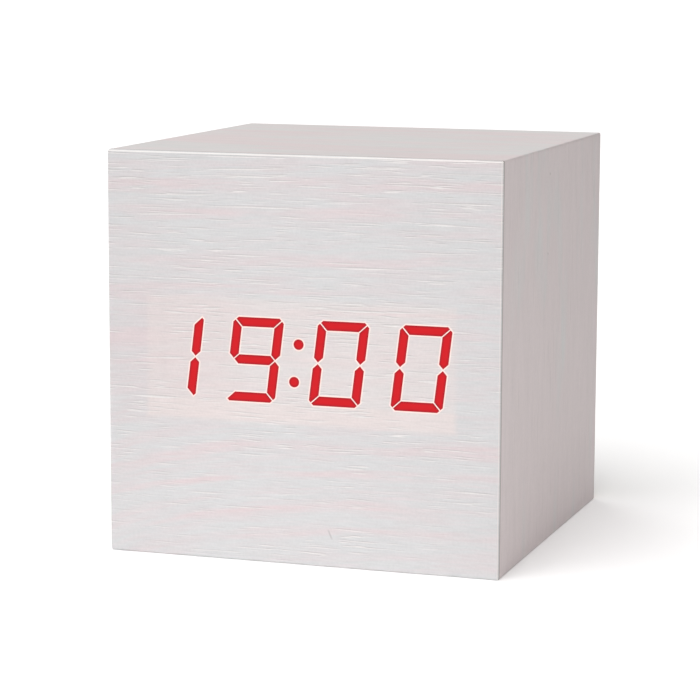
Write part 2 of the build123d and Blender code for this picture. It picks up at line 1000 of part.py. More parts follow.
def biarc(start, start_way, end, end_way):
    """Two tangent arcs from start to end with the given directions."""
    across = end - start
    both = start_way + end_way
    bend = 2 * (1 - start_way.dot(end_way))
    along = across.dot(both)
    reach = (-along + math.sqrt(along * along + bend * across.dot(across))) / bend
    first = start + start_way * reach
    last = end - end_way * reach
    middle = (first + last) * (1 / 2)
    arcs = [
        Edge.make_tangent_arc(start, start_way, middle),
        Edge.make_tangent_arc(middle, last - first, end),
    ]
    return arcs


def contact_spring(number):
    """An open coil between the end plate and the flat end of one cell."""
    way = cell_way(number)
    wire_radius = spring_wire / 2
    low = -way * (tub_half - plate_thickness) + way * (wire_radius + spring_seat_gap)
    length = spring_room - spring_wire - 2 * spring_seat_gap
    radius = (spring_diameter - spring_wire) / 2
    turns = length / spring_pitch
    steps = max(1, round(turns * 4))
    z = cell_centre_z(number)
    slope = way * length / (2 * math.pi * turns)

    def point(step):
        angle = 2 * math.pi * turns * step / steps
        x = low + slope * angle
        return Vector(x, cell_y + radius * math.cos(angle), z + radius * math.sin(angle))

    def heading(step):
        angle = 2 * math.pi * turns * step / steps
        return Vector(slope, -radius * math.sin(angle), radius * math.cos(angle)).normalized()

    edges = []
    for step in range(steps):
        edges += biarc(point(step), heading(step), point(step + 1), heading(step + 1))
    path = Wire(edges)
    section = Plane(origin=point(0), z_dir=heading(0)) * Circle(wire_radius)
    return sweep(section, path=path), path


def spring_self_gap(path):
    """Least distance between neighbouring turns of a coil, on points."""
    samples = max(60, round(path.length * 4))
    points = [path.position_at(number / samples) for number in range(samples + 1)]
    apart = path.length / samples
    skip = math.ceil(spring_diameter / apart)
    least = min(
        (points[i] - points[j]).length
        for i in range(len(points))
        for j in range(i + skip, len(points))
    )
    return least - spring_wire


def make_contacts():
    springs = []
    for number in range(cell_count):
        spring, path = contact_spring(number)
        springs.append(spring)
        print("contact spring gap to itself", round(spring_self_gap(path), 3))
    save("contact_springs", springs)
    save("positive_terminal", end_terminal(1, 0))
    save("negative_terminal", end_terminal(-1, cell_count - 1))
    save("battery_link_plates", [contact_plate(-1, 0, 1), contact_plate(1, 1, cell_count - 1)])


# Battery door

def make_door():
    """A flat door hooked at the bottom and latched at the top."""
    door = block(-door_half, door_half, door_seat_y, cover_back_y, door_bottom_z, door_top_z)
    door = chamfer(door.faces().sort_by(Axis.Y)[-1].edges(), edge_bevel)
    leaf_bottom_z = latch_z - latch_leaf - latch_opening - latch_leaf
    half_latch = latch_width / 2 + latch_side_gap
    door -= block(
        -half_latch,
        half_latch,
        door_seat_y - overrun,
        cover_back_y + overrun,
        leaf_bottom_z + latch_leaf,
        door_top_z + overrun,
    )
    tab_back_y = cover_front_y - tab_gap
    tab_front_y = tab_back_y - tab_thickness
    for side in [-1, 1]:
        x0 = side * tab_x - tab_width / 2
        x1 = side * tab_x + tab_width / 2
        stem_z = door_bottom_z + door_clearance
        door += block(x0, x1, tab_front_y, door_seat_y, stem_z, stem_z + tab_thickness)
        foot_z = door_bottom_z - tab_drop
        door += block(x0, x1, tab_front_y, tab_back_y, foot_z, stem_z + tab_thickness)
    for number in range(grip_rib_count):
        z = latch_z - grip_rib_drop - number * (grip_rib_width + grip_rib_space)
        rib = block(
            -grip_rib_length / 2,
            grip_rib_length / 2,
            cover_back_y,
            cover_back_y + grip_rib_height,
            z - grip_rib_width / 2,
            z + grip_rib_width / 2,
        )
        door += rib
    save("battery_door", door)


def make_latch():
    """The sprung U at the top of the door, its nib behind the cover."""
    bend_z = latch_z - latch_leaf - latch_opening / 2
    low_z = latch_z - 2 * latch_leaf - latch_opening
    bend_y = door_seat_y - latch_leg
    outer_radius = latch_opening / 2 + latch_leaf
    inner_radius = latch_opening / 2
    plane = Plane(origin=(-latch_width / 2, 0, 0), x_dir=(0, 1, 0), z_dir=(1, 0, 0))
    nib_back_y = cover_front_y - tab_gap
    edges = [
        Line((door_seat_y, low_z), (bend_y, low_z)),
        ThreePointArc((bend_y, low_z), (bend_y - outer_radius, bend_z), (bend_y, latch_z)),
        Line((bend_y, latch_z), (nib_back_y, latch_z + latch_nib_rise)),
        Line((nib_back_y, latch_z + latch_nib_rise), (nib_back_y, latch_z)),
        Line((nib_back_y, latch_z), (cover_back_y, latch_z)),
        Line((cover_back_y, latch_z), (cover_back_y, latch_z - latch_leaf)),
        Line((cover_back_y, latch_z - latch_leaf), (bend_y, latch_z - latch_leaf)),
        ThreePointArc(
            (bend_y, latch_z - latch_leaf),
            (bend_y - inner_radius, bend_z),
            (bend_y, low_z + latch_leaf),
        ),
        Line((bend_y, low_z + latch_leaf), (door_seat_y, low_z + latch_leaf)),
        Line((door_seat_y, low_z + latch_leaf), (door_seat_y, low_z)),
    ]
    outline = plane * make_face(edges)
    save("battery_door_latch", extrude(outline, amount=latch_width, dir=(1, 0, 0)))


# Buttons and switches

def make_buttons():
    """Three caps with their switches: housing, cover, plunger and snap dome."""
    housings = []
    covers = []
    terminals = []
    half = switch_side / 2
    for (x, z), name in zip(button_places(), ["set", "up", "down"]):
        cap = rod(x, z, button_flange_back_y, cover_back_y + button_proud, button_diameter)
        cap = chamfer(cap.faces().sort_by(Axis.Y)[-1].edges(), button_bevel)
        cap += rod(x, z, button_flange_front_y, button_flange_back_y, button_flange_diameter)
        save(f"{name}_button", cap)

        flange_top_y = switch_top_y - plunger_play
        plunger = rod(x, z, flange_top_y, button_flange_front_y, plunger_diameter)
        plunger += rod(
            x,
            z,
            flange_top_y - plunger_flange_thickness,
            flange_top_y,
            plunger_flange_diameter,
        )
        save(f"{name}_switch_plunger", plunger)
        save(f"{name}_switch_dome", snap_dome(x, z))

        housing = block(x - half, x + half, control_back_y, switch_top_y, z - half, z + half)
        housing -= rod(
            x,
            z,
            control_back_y + switch_floor,
            switch_top_y + overrun,
            switch_cavity_diameter,
        )
        housings.append(housing)
        cover = block(x - half, x + half, switch_top_y, switch_cover_top_y, z - half, z + half)
        for side in [-1, 1]:
            inner = x + side * half
            outer = x + side * (half + switch_cover_thickness)
            cover += block(
                min(inner, outer),
                max(inner, outer),
                switch_cover_top_y - switch_cover_tab,
                switch_cover_top_y,
                z - half,
                z + half,
            )
        hole = plunger_diameter + 2 * button_clearance
        cover -= rod(x, z, switch_top_y - overrun, switch_cover_top_y + overrun, hole)
        covers.append(cover)
        for side_x in [-1, 1]:
            for side_z in [-1, 1]:
                middle = x + side_x * half * terminal_share
                inner = z + side_z * half
                outer = z + side_z * (half + terminal_reach)
                terminals.append(
                    block(
                        middle - terminal_width / 2,
                        middle + terminal_width / 2,
                        control_back_y,
                        control_back_y + terminal_thickness,
                        min(inner, outer),
                        max(inner, outer),
                    )
                )
    save("switch_housings", housings)
    save("switch_covers", covers)
    save("switch_terminals", terminals)


def snap_dome(x, z):
    """A thin domed disc that springs the plunger back."""
    base_y = control_back_y + switch_floor
    radius = ((dome_diameter / 2) ** 2 + dome_rise**2) / (2 * dome_rise)
    centre_y = base_y + dome_rise - radius
    shell = Pos(x, centre_y, z) * (Sphere(radius) - Sphere(radius - dome_thickness))
    keep = rod(x, z, base_y, base_y + dome_rise + overrun, dome_diameter + overrun)
    return shell & keep


# Control board

def make_control_board():
    board = block(
        -control_half_width,
        control_half_width,
        control_front_y,
        control_back_y,
        button_z - control_half_height,
        button_z + control_half_height,
    )
    screws = []
    for side in [-1, 1]:
        x = side * boss_x
        hole = small_screw_shank + 2 * screw_clearance
        board -= rod(x, button_z, control_front_y - overrun, control_back_y + overrun, hole)
        screws.append(
            screw_along_y(
                x,
                button_z,
                control_front_y,
                1,
                small_screw_shank,
                small_screw_head,
                small_screw_head_height,
                control_screw_length,
            )
        )
    save("control_board", board)
    save("control_board_screws", screws)

    buzzer = rod(buzzer_x, button_z, control_front_y - buzzer_height, control_front_y, buzzer_diameter)
    buzzer -= rod(
        buzzer_x,
        button_z,
        control_front_y - buzzer_height - overrun,
        control_front_y - buzzer_height / 2,
        buzzer_hole,
    )
    save("alarm_buzzer", buzzer)
    microphone = rod(
        0, microphone_z(), cover_front_y - microphone_length, cover_front_y, microphone_diameter
    )
    save("microphone", microphone)


def make_power_socket():
    """A low-voltage inlet: body with a nose, centre pin and side contact."""
    half = socket_side / 2
    nose_end_y = cover_back_y - socket_nose_setback
    body_end_y = cover_front_y - socket_nose_setback
    bore_floor_y = nose_end_y - socket_bore_depth
    body = block(
        socket_x - half,
        socket_x + half,
        control_back_y,
        body_end_y,
        button_z - half,
        button_z + half,
    )
    body += rod(socket_x, button_z, body_end_y, nose_end_y, socket_nose_diameter)
    body -= rod(socket_x, button_z, bore_floor_y, nose_end_y + overrun, socket_bore)
    groove_half = socket_contact_width / 2 + socket_nose_setback
    groove_floor_z = button_z - socket_bore / 2 - 2 * socket_contact_thickness
    body -= block(
        socket_x - groove_half,
        socket_x + groove_half,
        bore_floor_y,
        bore_floor_y + socket_contact_length,
        groove_floor_z,
        button_z,
    )
    save("power_socket_housing", body)
    pin = rod(
        socket_x,
        button_z,
        bore_floor_y,
        nose_end_y - socket_pin_setback,
        socket_pin_diameter,
    )
    save("power_socket_pin", pin)
    contact = block(
        socket_x - socket_contact_width / 2,
        socket_x + socket_contact_width / 2,
        bore_floor_y,
        bore_floor_y + socket_contact_length,
        groove_floor_z,
        groove_floor_z + socket_contact_thickness,
    )
    save("power_socket_contact", contact)


# Wires inside

def bend_radii(points):
    """As large an arc at each corner as its two runs allow."""
    runs = [Vector(*b) - Vector(*a) for a, b in zip(points, points[1:])]
    radii = []
    for before, after in zip(runs, runs[1:]):
        half_turn = math.radians(before.get_angle(after)) / 2
        radii.append(bend_share * min(before.length, after.length) / math.tan(half_turn))
    return radii


def round_wire(name, points, diameter):
    radii = bend_radii(points)
    print(name, "bend radii", [round(radius, 1) for radius in radii])
    path = FilletPolyline(*points, radius=radii)
    first_run = Vector(*points[1]) - Vector(*points[0])
    section = Plane(origin=points[0], z_dir=first_run) * Circle(diameter / 2)
    return sweep(section, path=path)


def lead_route(start, shares, end):
    """A wire's points: shares of the way across, of the open depth and of the climb."""
    depth = start[1] - front_board_back_y
    points = [start]
    for across_share, depth_share, climb_share in shares:
        x = start[0] + (end[0] - start[0]) * across_share
        z = start[2] + (end[2] - start[2]) * climb_share
        points.append((x, start[1] - depth * depth_share, z))
    return points + [end]


def make_wires():
    tag_x = tub_half - plate_thickness / 2
    red = lead_route(
        (tag_x, tag_end_y, cell_centre_z(0)),
        red_lead_shares,
        (red_lead_x, control_front_y, solder_z),
    )
    save("battery_lead_red", round_wire("red lead", red, lead_diameter))
    black = lead_route(
        (-tag_x, tag_end_y, cell_centre_z(cell_count - 1)),
        black_lead_shares,
        (black_lead_x, control_front_y, solder_z),
    )
    save("battery_lead_black", round_wire("black lead", black, lead_diameter))
    leads = []
    for side in [-1, 1]:
        x = side * microphone_lead_spread / 2
        route = lead_route(
            (x, cover_front_y - microphone_length, microphone_z()),
            microphone_lead_shares,
            (x + microphone_lead_x, control_front_y, solder_z),
        )
        leads.append(round_wire("microphone lead", route, microphone_lead_diameter))
    save("microphone_leads", leads)


def make_ribbon():
    """The flat cable between the boards, and the header at each end."""
    half_length = header_length / 2
    half_width = header_width / 2
    start_y = display_back_y + header_height
    end_y = control_front_y - header_height
    headers = []
    for near_y, far_y, z in [(display_back_y, start_y, header_z), (end_y, control_front_y, button_z)]:
        headers.append(block(-half_length, half_length, near_y, far_y, z - half_width, z + half_width))
    save("ribbon_connectors", headers)
    span = end_y - start_y
    first, middle, last = [start_y + span * share for share in ribbon_run_shares]
    points = [
        (0, start_y, header_z),
        (0, first, header_z),
        (0, middle, header_z - ribbon_sag),
        (0, last, button_z),
        (0, end_y, button_z),
    ]
    radii = bend_radii(points)
    print("ribbon bend radii", [round(radius, 1) for radius in radii])
    path = FilletPolyline(*points, radius=radii)
    start = Plane(origin=points[0], x_dir=(1, 0, 0), z_dir=(0, 1, 0))
    save("ribbon_cable", sweep(start * Rectangle(ribbon_width, ribbon_thickness), path=path))


def main():
    os.makedirs("parts", exist_ok=True)
    make_case()
    make_front()
    make_display()
    make_display_board()
    make_chips()
    make_display_board_parts()
    make_coin_cell()
    make_rear_cover()
    make_corner_blocks()
    make_cells()
    make_contacts()
    make_door()
    make_latch()
    make_buttons()
    make_control_board()
    make_power_socket()
    make_wires()
    make_ribbon()


main()
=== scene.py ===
import math

import bmesh
import bpy
from mathutils import Matrix, Vector


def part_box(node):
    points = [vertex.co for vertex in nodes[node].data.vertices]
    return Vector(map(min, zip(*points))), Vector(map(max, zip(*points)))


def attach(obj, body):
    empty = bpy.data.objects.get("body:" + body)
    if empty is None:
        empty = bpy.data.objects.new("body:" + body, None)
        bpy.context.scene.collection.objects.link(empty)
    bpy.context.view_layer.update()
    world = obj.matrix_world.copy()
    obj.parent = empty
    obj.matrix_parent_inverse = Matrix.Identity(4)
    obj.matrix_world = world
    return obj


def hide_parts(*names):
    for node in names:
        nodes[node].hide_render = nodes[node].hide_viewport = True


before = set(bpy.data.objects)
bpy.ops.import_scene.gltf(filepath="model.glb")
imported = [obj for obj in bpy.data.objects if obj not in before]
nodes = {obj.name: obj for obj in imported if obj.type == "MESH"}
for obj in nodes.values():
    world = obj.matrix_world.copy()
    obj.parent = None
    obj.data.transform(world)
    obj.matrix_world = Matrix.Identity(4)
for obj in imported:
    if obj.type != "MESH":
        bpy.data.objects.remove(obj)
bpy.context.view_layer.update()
mm = 0.001
print("frame loaded:", len(nodes), "nodes")


# Shader maths

class Value:
    # one shader socket that Python's arithmetic works on
    def __init__(self, finish, socket):
        self.finish = finish
        self.socket = socket

    def __add__(self, other):
        return self.finish.maths("ADD", self, other)

    def __radd__(self, other):
        return self.finish.maths("ADD", other, self)

    def __sub__(self, other):
        return self.finish.maths("SUBTRACT", self, other)

    def __rsub__(self, other):
        return self.finish.maths("SUBTRACT", other, self)

    def __mul__(self, other):
        return self.finish.maths("MULTIPLY", self, other)

    def __rmul__(self, other):
        return self.finish.maths("MULTIPLY", other, self)

    def __abs__(self):
        return self.finish.maths("ABSOLUTE", self)

    def __gt__(self, other):
        return self.finish.maths("GREATER_THAN", self, other)

    def __lt__(self, other):
        return self.finish.maths("LESS_THAN", self, other)

    def __pow__(self, other):
        return self.finish.maths("POWER", self, other)


class Finish:
    # a material while it is made; x, y and z are the surface's place in millimetres
    def __init__(self, name):
        self.material = bpy.data.materials.new(name)
        self.material.use_nodes = True
        self.tree = self.material.node_tree
        self.tree.nodes.clear()
        place = self.add("ShaderNodeTexCoord", output="Object")
        scaled = self.add("ShaderNodeVectorMath", {"operation": "SCALE"}, {0: place, "Scale": 1 / mm})
        self.x, self.y, self.z = [
            self.add("ShaderNodeSeparateXYZ", inputs={0: scaled}, output=axis) for axis in "XYZ"
        ]

    def add(self, kind, settings={}, inputs={}, output=0):
        node = self.tree.nodes.new(kind)
        for name, value in settings.items():
            setattr(node, name, value)
        for name, value in inputs.items():
            if isinstance(value, Value):
                self.tree.links.new(value.socket, node.inputs[name])
            else:
                node.inputs[name].default_value = value
        return Value(self, node.outputs[output])

    def maths(self, operation, *values):
        return self.add("ShaderNodeMath", {"operation": operation}, dict(enumerate(values)))

    def largest(self, first, *others):
        for other in others:
            first = self.maths("MAXIMUM", first, other)
        return first

    def smallest(self, first, *others):
        for other in others:
            first = self.maths("MINIMUM", first, other)
        return first

    def length(self, across, up):
        return (across * across + up * up) ** 0.5

    def step(self, value, low, high):
        # 0 at low, 1 at high, smooth between
        inputs = {"Value": value, "From Min": low, "From Max": high}
        return self.add("ShaderNodeMapRange", {"interpolation_type": "SMOOTHSTEP"}, inputs)

    def noise(self, x, y, z, detail=2.0, roughness=0.5):
        place = self.add("ShaderNodeCombineXYZ", inputs={0: x, 1: y, 2: z})
        inputs = {"Vector": place, "Scale": 1.0, "Detail": detail, "Roughness": roughness}
        return self.add("ShaderNodeTexNoise", inputs=inputs)

    def stretched(self, scales, detail=2.0, roughness=0.5):
        # noise with a scale of its own along X, Y and Z
        place = [axis * scale for axis, scale in zip((self.x, self.y, self.z), scales)]
        return self.noise(*place, detail, roughness)

    def even(self, scale, detail=2.0, roughness=0.5):
        return self.stretched((scale, scale, scale), detail, roughness)

    def grained(self, along, across, layer):
        # flat noise drawn out along the grain
        alongScale, acrossScale, seed, detail = layer
        return self.noise(along * alongScale, seed, across * acrossScale, detail)

    def cells(self, scale):
        # distance to the nearest of many scattered points
        place = self.add(
            "ShaderNodeCombineXYZ", inputs={0: self.x * scale, 1: self.y * scale, 2: self.z * scale}
        )
        return self.add("ShaderNodeTexVoronoi", inputs={"Vector": place, "Scale": 1.0}, output="Distance")

    def blend(self, low, high, share):
        return self.add("ShaderNodeMix", {"data_type": "RGBA"}, {0: share, 6: low, 7: high}, 2)

    def lit(self, colour, strength):
        # a colour made lighter or darker by a varying strength
        start = colour if isinstance(colour, Value) else colour[:3]
        return self.add("ShaderNodeVectorMath", {"operation": "SCALE"}, {0: start, "Scale": strength})

    def relief(self, height, depth, strength=1.0):
        # height 1 stands depth millimetres above height 0
        inputs = {"Height": height, "Distance": depth * mm, "Strength": strength}
        return self.add("ShaderNodeBump", inputs=inputs)

    def surface(self, inputs):
        shader = self.add("ShaderNodeBsdfPrincipled", inputs=inputs)
        end = self.tree.nodes.new("ShaderNodeOutputMaterial")
        self.tree.links.new(shader.socket, end.inputs["Surface"])
        return self.material


def paint(red, green, blue):
    # an sRGB colour of 0 to 255 as the linear one that shaders take
    def linear(value):
        share = value / 255
        return share / 12.92 if share <= 0.04045 else ((share + 0.055) / 1.055) ** 2.4

    return (linear(red), linear(green), linear(blue), 1.0)


black = (0, 0, 0, 1)
white = (1, 1, 1, 1)


# Lit figures, drawn again as distances so that the sheet can glow around them

figures = {
    "height": 12.8,
    "width": 8.0,
    "stroke": 1.38,
    "gap": 0.22,
    "corner": 0.75,
    "slant": 7.0,
    "pitch": 12.8,
    "middlePitch": 13.4,
    "centreX": -0.6,
    "centreZ": 31.0,
    "dotDiameter": 1.55,
    "dotSpacing": 5.7,
    "dotDrop": 0.2,
    # added to the distance of a segment that isn't lit
    "unlit": 100.0,
}


def figureDistance(finish):
    # millimetres outside the nearest lit segment or dot of 19:00, negative inside
    look = figures
    slope = math.sqrt(0.5)
    lean = math.tan(math.radians(look["slant"]))

    # which digit the place is in, and how far across and up from that digit's middle
    up = finish.z - look["centreZ"]
    across = finish.x - look["centreX"] - up * lean
    away = abs(across)
    outer = away > (look["middlePitch"] + look["pitch"]) / 2
    left = across < 0
    side = 1 - left * 2
    inDigit = (away - look["middlePitch"] / 2 - outer * look["pitch"]) * side
    lower = up < 0
    one = left * outer
    nine = left * (1 - outer)

    # half the digit's width and height, its stroke, the gap's share along each axis,
    # and how far the place is from the digit's middle
    w = look["width"] / 2
    h = look["height"] / 2
    t = look["stroke"]
    d = look["gap"] / math.sqrt(2)
    a = abs(inDigit)
    b = abs(up)
    corner = (a + b - (w + h - look["corner"])) * slope
    bar = finish.largest(b - h, h - t - b, (a - b - (w - h - d)) * slope, corner)
    post = finish.largest(
        a - w,
        w - t - a,
        (b - a - (h - w - d)) * slope,
        corner,
        (a - b - (w - t / 2 - d)) * slope,
        (w - t / 2 + d - a - b) * slope,
    )
    middle = finish.largest(b - t / 2, (a + b - (w - t / 2 - d)) * slope)
    postDark = (inDigit < 0) * finish.largest(one, left * lower)

    dotUp = finish.z - (look["centreZ"] - look["dotDrop"])
    dotSide = 1 - (dotUp < 0) * 2
    dotX = finish.x - look["centreX"] - dotSide * (look["dotSpacing"] / 2 * lean)
    dotZ = abs(dotUp) - look["dotSpacing"] / 2
    dots = finish.length(dotX, dotZ) - look["dotDiameter"] / 2
    unlit = look["unlit"]
    return finish.smallest(bar + one * unlit, post + postDark * unlit, middle + (1 - nine) * unlit, dots)


# Finishes

litLook = {
    "middle": paint(219, 20, 30),
    "rim": paint(176, 25, 38),
    "unlit": paint(70, 5, 8),
    "rimStart": 0.02,
    "rimWidth": 0.42,
    "grain": (0.2, 2.7, 7.0, 1.0),
    "glow": 0.88,
    "grainShare": 0.1,
    "roughness": 0.46,
    "specular": 0.2,
}


def makeLitRed():
    look = litLook
    film = Finish("litRed")
    inside = film.step(0 - figureDistance(film), look["rimStart"], look["rimWidth"])
    grain = film.grained(film.x, film.z, look["grain"]) - 0.5
    glow = film.blend(look["rim"], look["middle"], inside)
    return film.surface({
        "Base Color": look["unlit"],
        "Emission Color": film.lit(glow, look["glow"] + grain * look["grainShare"]),
        "Emission Strength": 1.0,
        "Roughness": look["roughness"] + grain * look["grainShare"],
        "Specular IOR Level": look["specular"],
    })


frontFilm = {
    "grey": paint(219, 219, 220),
    "pink": paint(226, 213, 215),
    # painted highlight colour on the cuts' lower lips
    "cutHighlight": paint(244, 241, 240),
    # painted shade colour on the cuts' upper lips and at the window's left end, and the nick's own dark
    # colour
    "shadeAndNick": paint(188, 183, 184),
    "window": paint(234, 223, 221),
    "cream": paint(255, 237, 230),
    # painted highlight colour for the top and right edges
    "edgeHighlight": paint(255, 251, 247),
    # painted shade colour for the rolled edges
    "rolledEdgeShade": paint(196, 190, 189),
    # noise layers: scale along the grain, scale across it, seed, detail
    "swayGrain": (0.035, 0.06, 4.0, 2.0),
    "wornGrain": (0.08, 0.6, 9.0, 3.0),
    "washGrain": (0.05, 0.5, 2.0, 4.0),
    "mottleGrain": (0.12, 1.7, 17.0, 3.0),
    "clumpGrain": (0.05, 0.18, 5.0, 2.0),
    "cutGrain": (0.17, 3.7, 7.0, 1.5),
    "longCutGrain": (0.07, 3.0, 11.0, 1.5),
    "fineGrain": (0.34, 2.9, 21.0, 2.0),
    "streakGrain": (0.09, 1.2, 13.0, 3.0),
    "weaveGrain": (2.6, 2.6, 0.0, 1.0),
    # the noise values between which each layer comes in
    "wornStep": (0.3, 0.62),
    "washStep": (0.4, 0.7),
    "clumpStep": (0.38, 0.6),
    "cutStep": (0.58, 0.68),
    "longCutStep": (0.63, 0.72),
    # pink growth bands: height at the left edge, half width, strength
    "bands": [
        (59.6, 0.7, 0.5),
        (56.3, 1.4, 0.9),
        (51.9, 0.9, 0.8),
        (45.2, 1.0, 0.8),
        (41.0, 0.8, 0.6),
        (37.4, 0.7, 0.5),
        (33.2, 1.7, 0.8),
        (29.2, 1.3, 0.7),
        (25.2, 1.0, 0.5),
        (19.5, 0.7, 0.3),
        (13.2, 1.9, 0.85),
        (8.3, 0.8, 0.9),
        (2.6, 1.0, 0.8),
        (-1.2, 0.7, 0.7),
    ],
    "bandSpread": 1.5,
    "bandShare": 0.75,
    "washShare": 0.5,
    "mottleShare": 0.9,
    # the bands sink towards the left edge, lower down, and sway all along
    "rise": 5.5,
    "riseLength": 13.0,
    "riseTop": 42.0,
    "riseBottom": 6.0,
    "tilt": 0.035,
    "sway": 3.0,
    # a pinker patch round the left of the window: centre X and Z, radius, strength
    "blush": (-22.0, 32.0, 17.0, 0.45),
    "blushCore": 0.2,
    "blushDark": 0.045,
    # painted shading: how much darker the sheet gets per millimetre upwards, and per square millimetre
    # sideways, as the light falls
    "level": 0.991,
    "upwardShade": 0.0008,
    "sideShade": 0.000036,
    # a small slanting nick: centre X and Z, lean, half length, half width, strength
    "nick": (4.78, 5.05, 0.42, 0.9, 0.21, 0.65),
    "nickCore": (0.4, 0.3),
    # the paler window that the display's white block makes, and its brighter lower strip
    "windowX": -0.2,
    "windowZ": 30.9,
    "windowHalfWidth": 24.4,
    "windowHalfHeight": 9.4,
    "windowSoft": 0.7,
    "windowShare": 0.5,
    "stripTop": 24.6,
    "stripSoft": 0.4,
    "stripShare": 0.3,
    "shadeX": -22.0,
    "shadeWidth": 1.0,
    "shadeCore": 0.1,
    "shadeShare": 0.05,
    # light that the lit figures spill into the sheet beside them
    "bleed": 0.038,
    "bleedCore": 0.4,
    "haloWidth": 0.31,
    "haloCore": 0.45,
    "haloShare": 0.9,
    "spill": (0.085, 0.012, 0.01, 1.0),
    # painted highlight: inset, half width and strength of the pale line along the top and right edges, then
    # the painted shade of the rolled edges
    "topHighlight": (0.22, 0.13, 0.6),
    "sideHighlight": (0.2, 0.1, 0.6),
    "edgeShadeWidth": 0.07,
    "edgeShadeShare": 0.6,
    "edgeCore": 0.4,
    # the fine cuts run level, whatever the growth bands do, and there are more of them higher up
    "upperCuts": 0.0013,
    "cutSway": 0.3,
    "cutOffset": 0.13,
    "cutDepth": 0.05,
    "cutRelief": 0.6,
    "cutDark": 0.6,
    "cutBright": 0.85,
    "longCutDark": 0.5,
    "longCutBright": 0.75,
    "fineShare": 0.16,
    "streakShare": 0.08,
    "weaveShare": 0.1,
    "fineHeight": 0.5,
    "weaveHeight": 0.3,
    "roughness": 0.46,
    "cutRoughness": 0.12,
    "specular": 0.35,
}


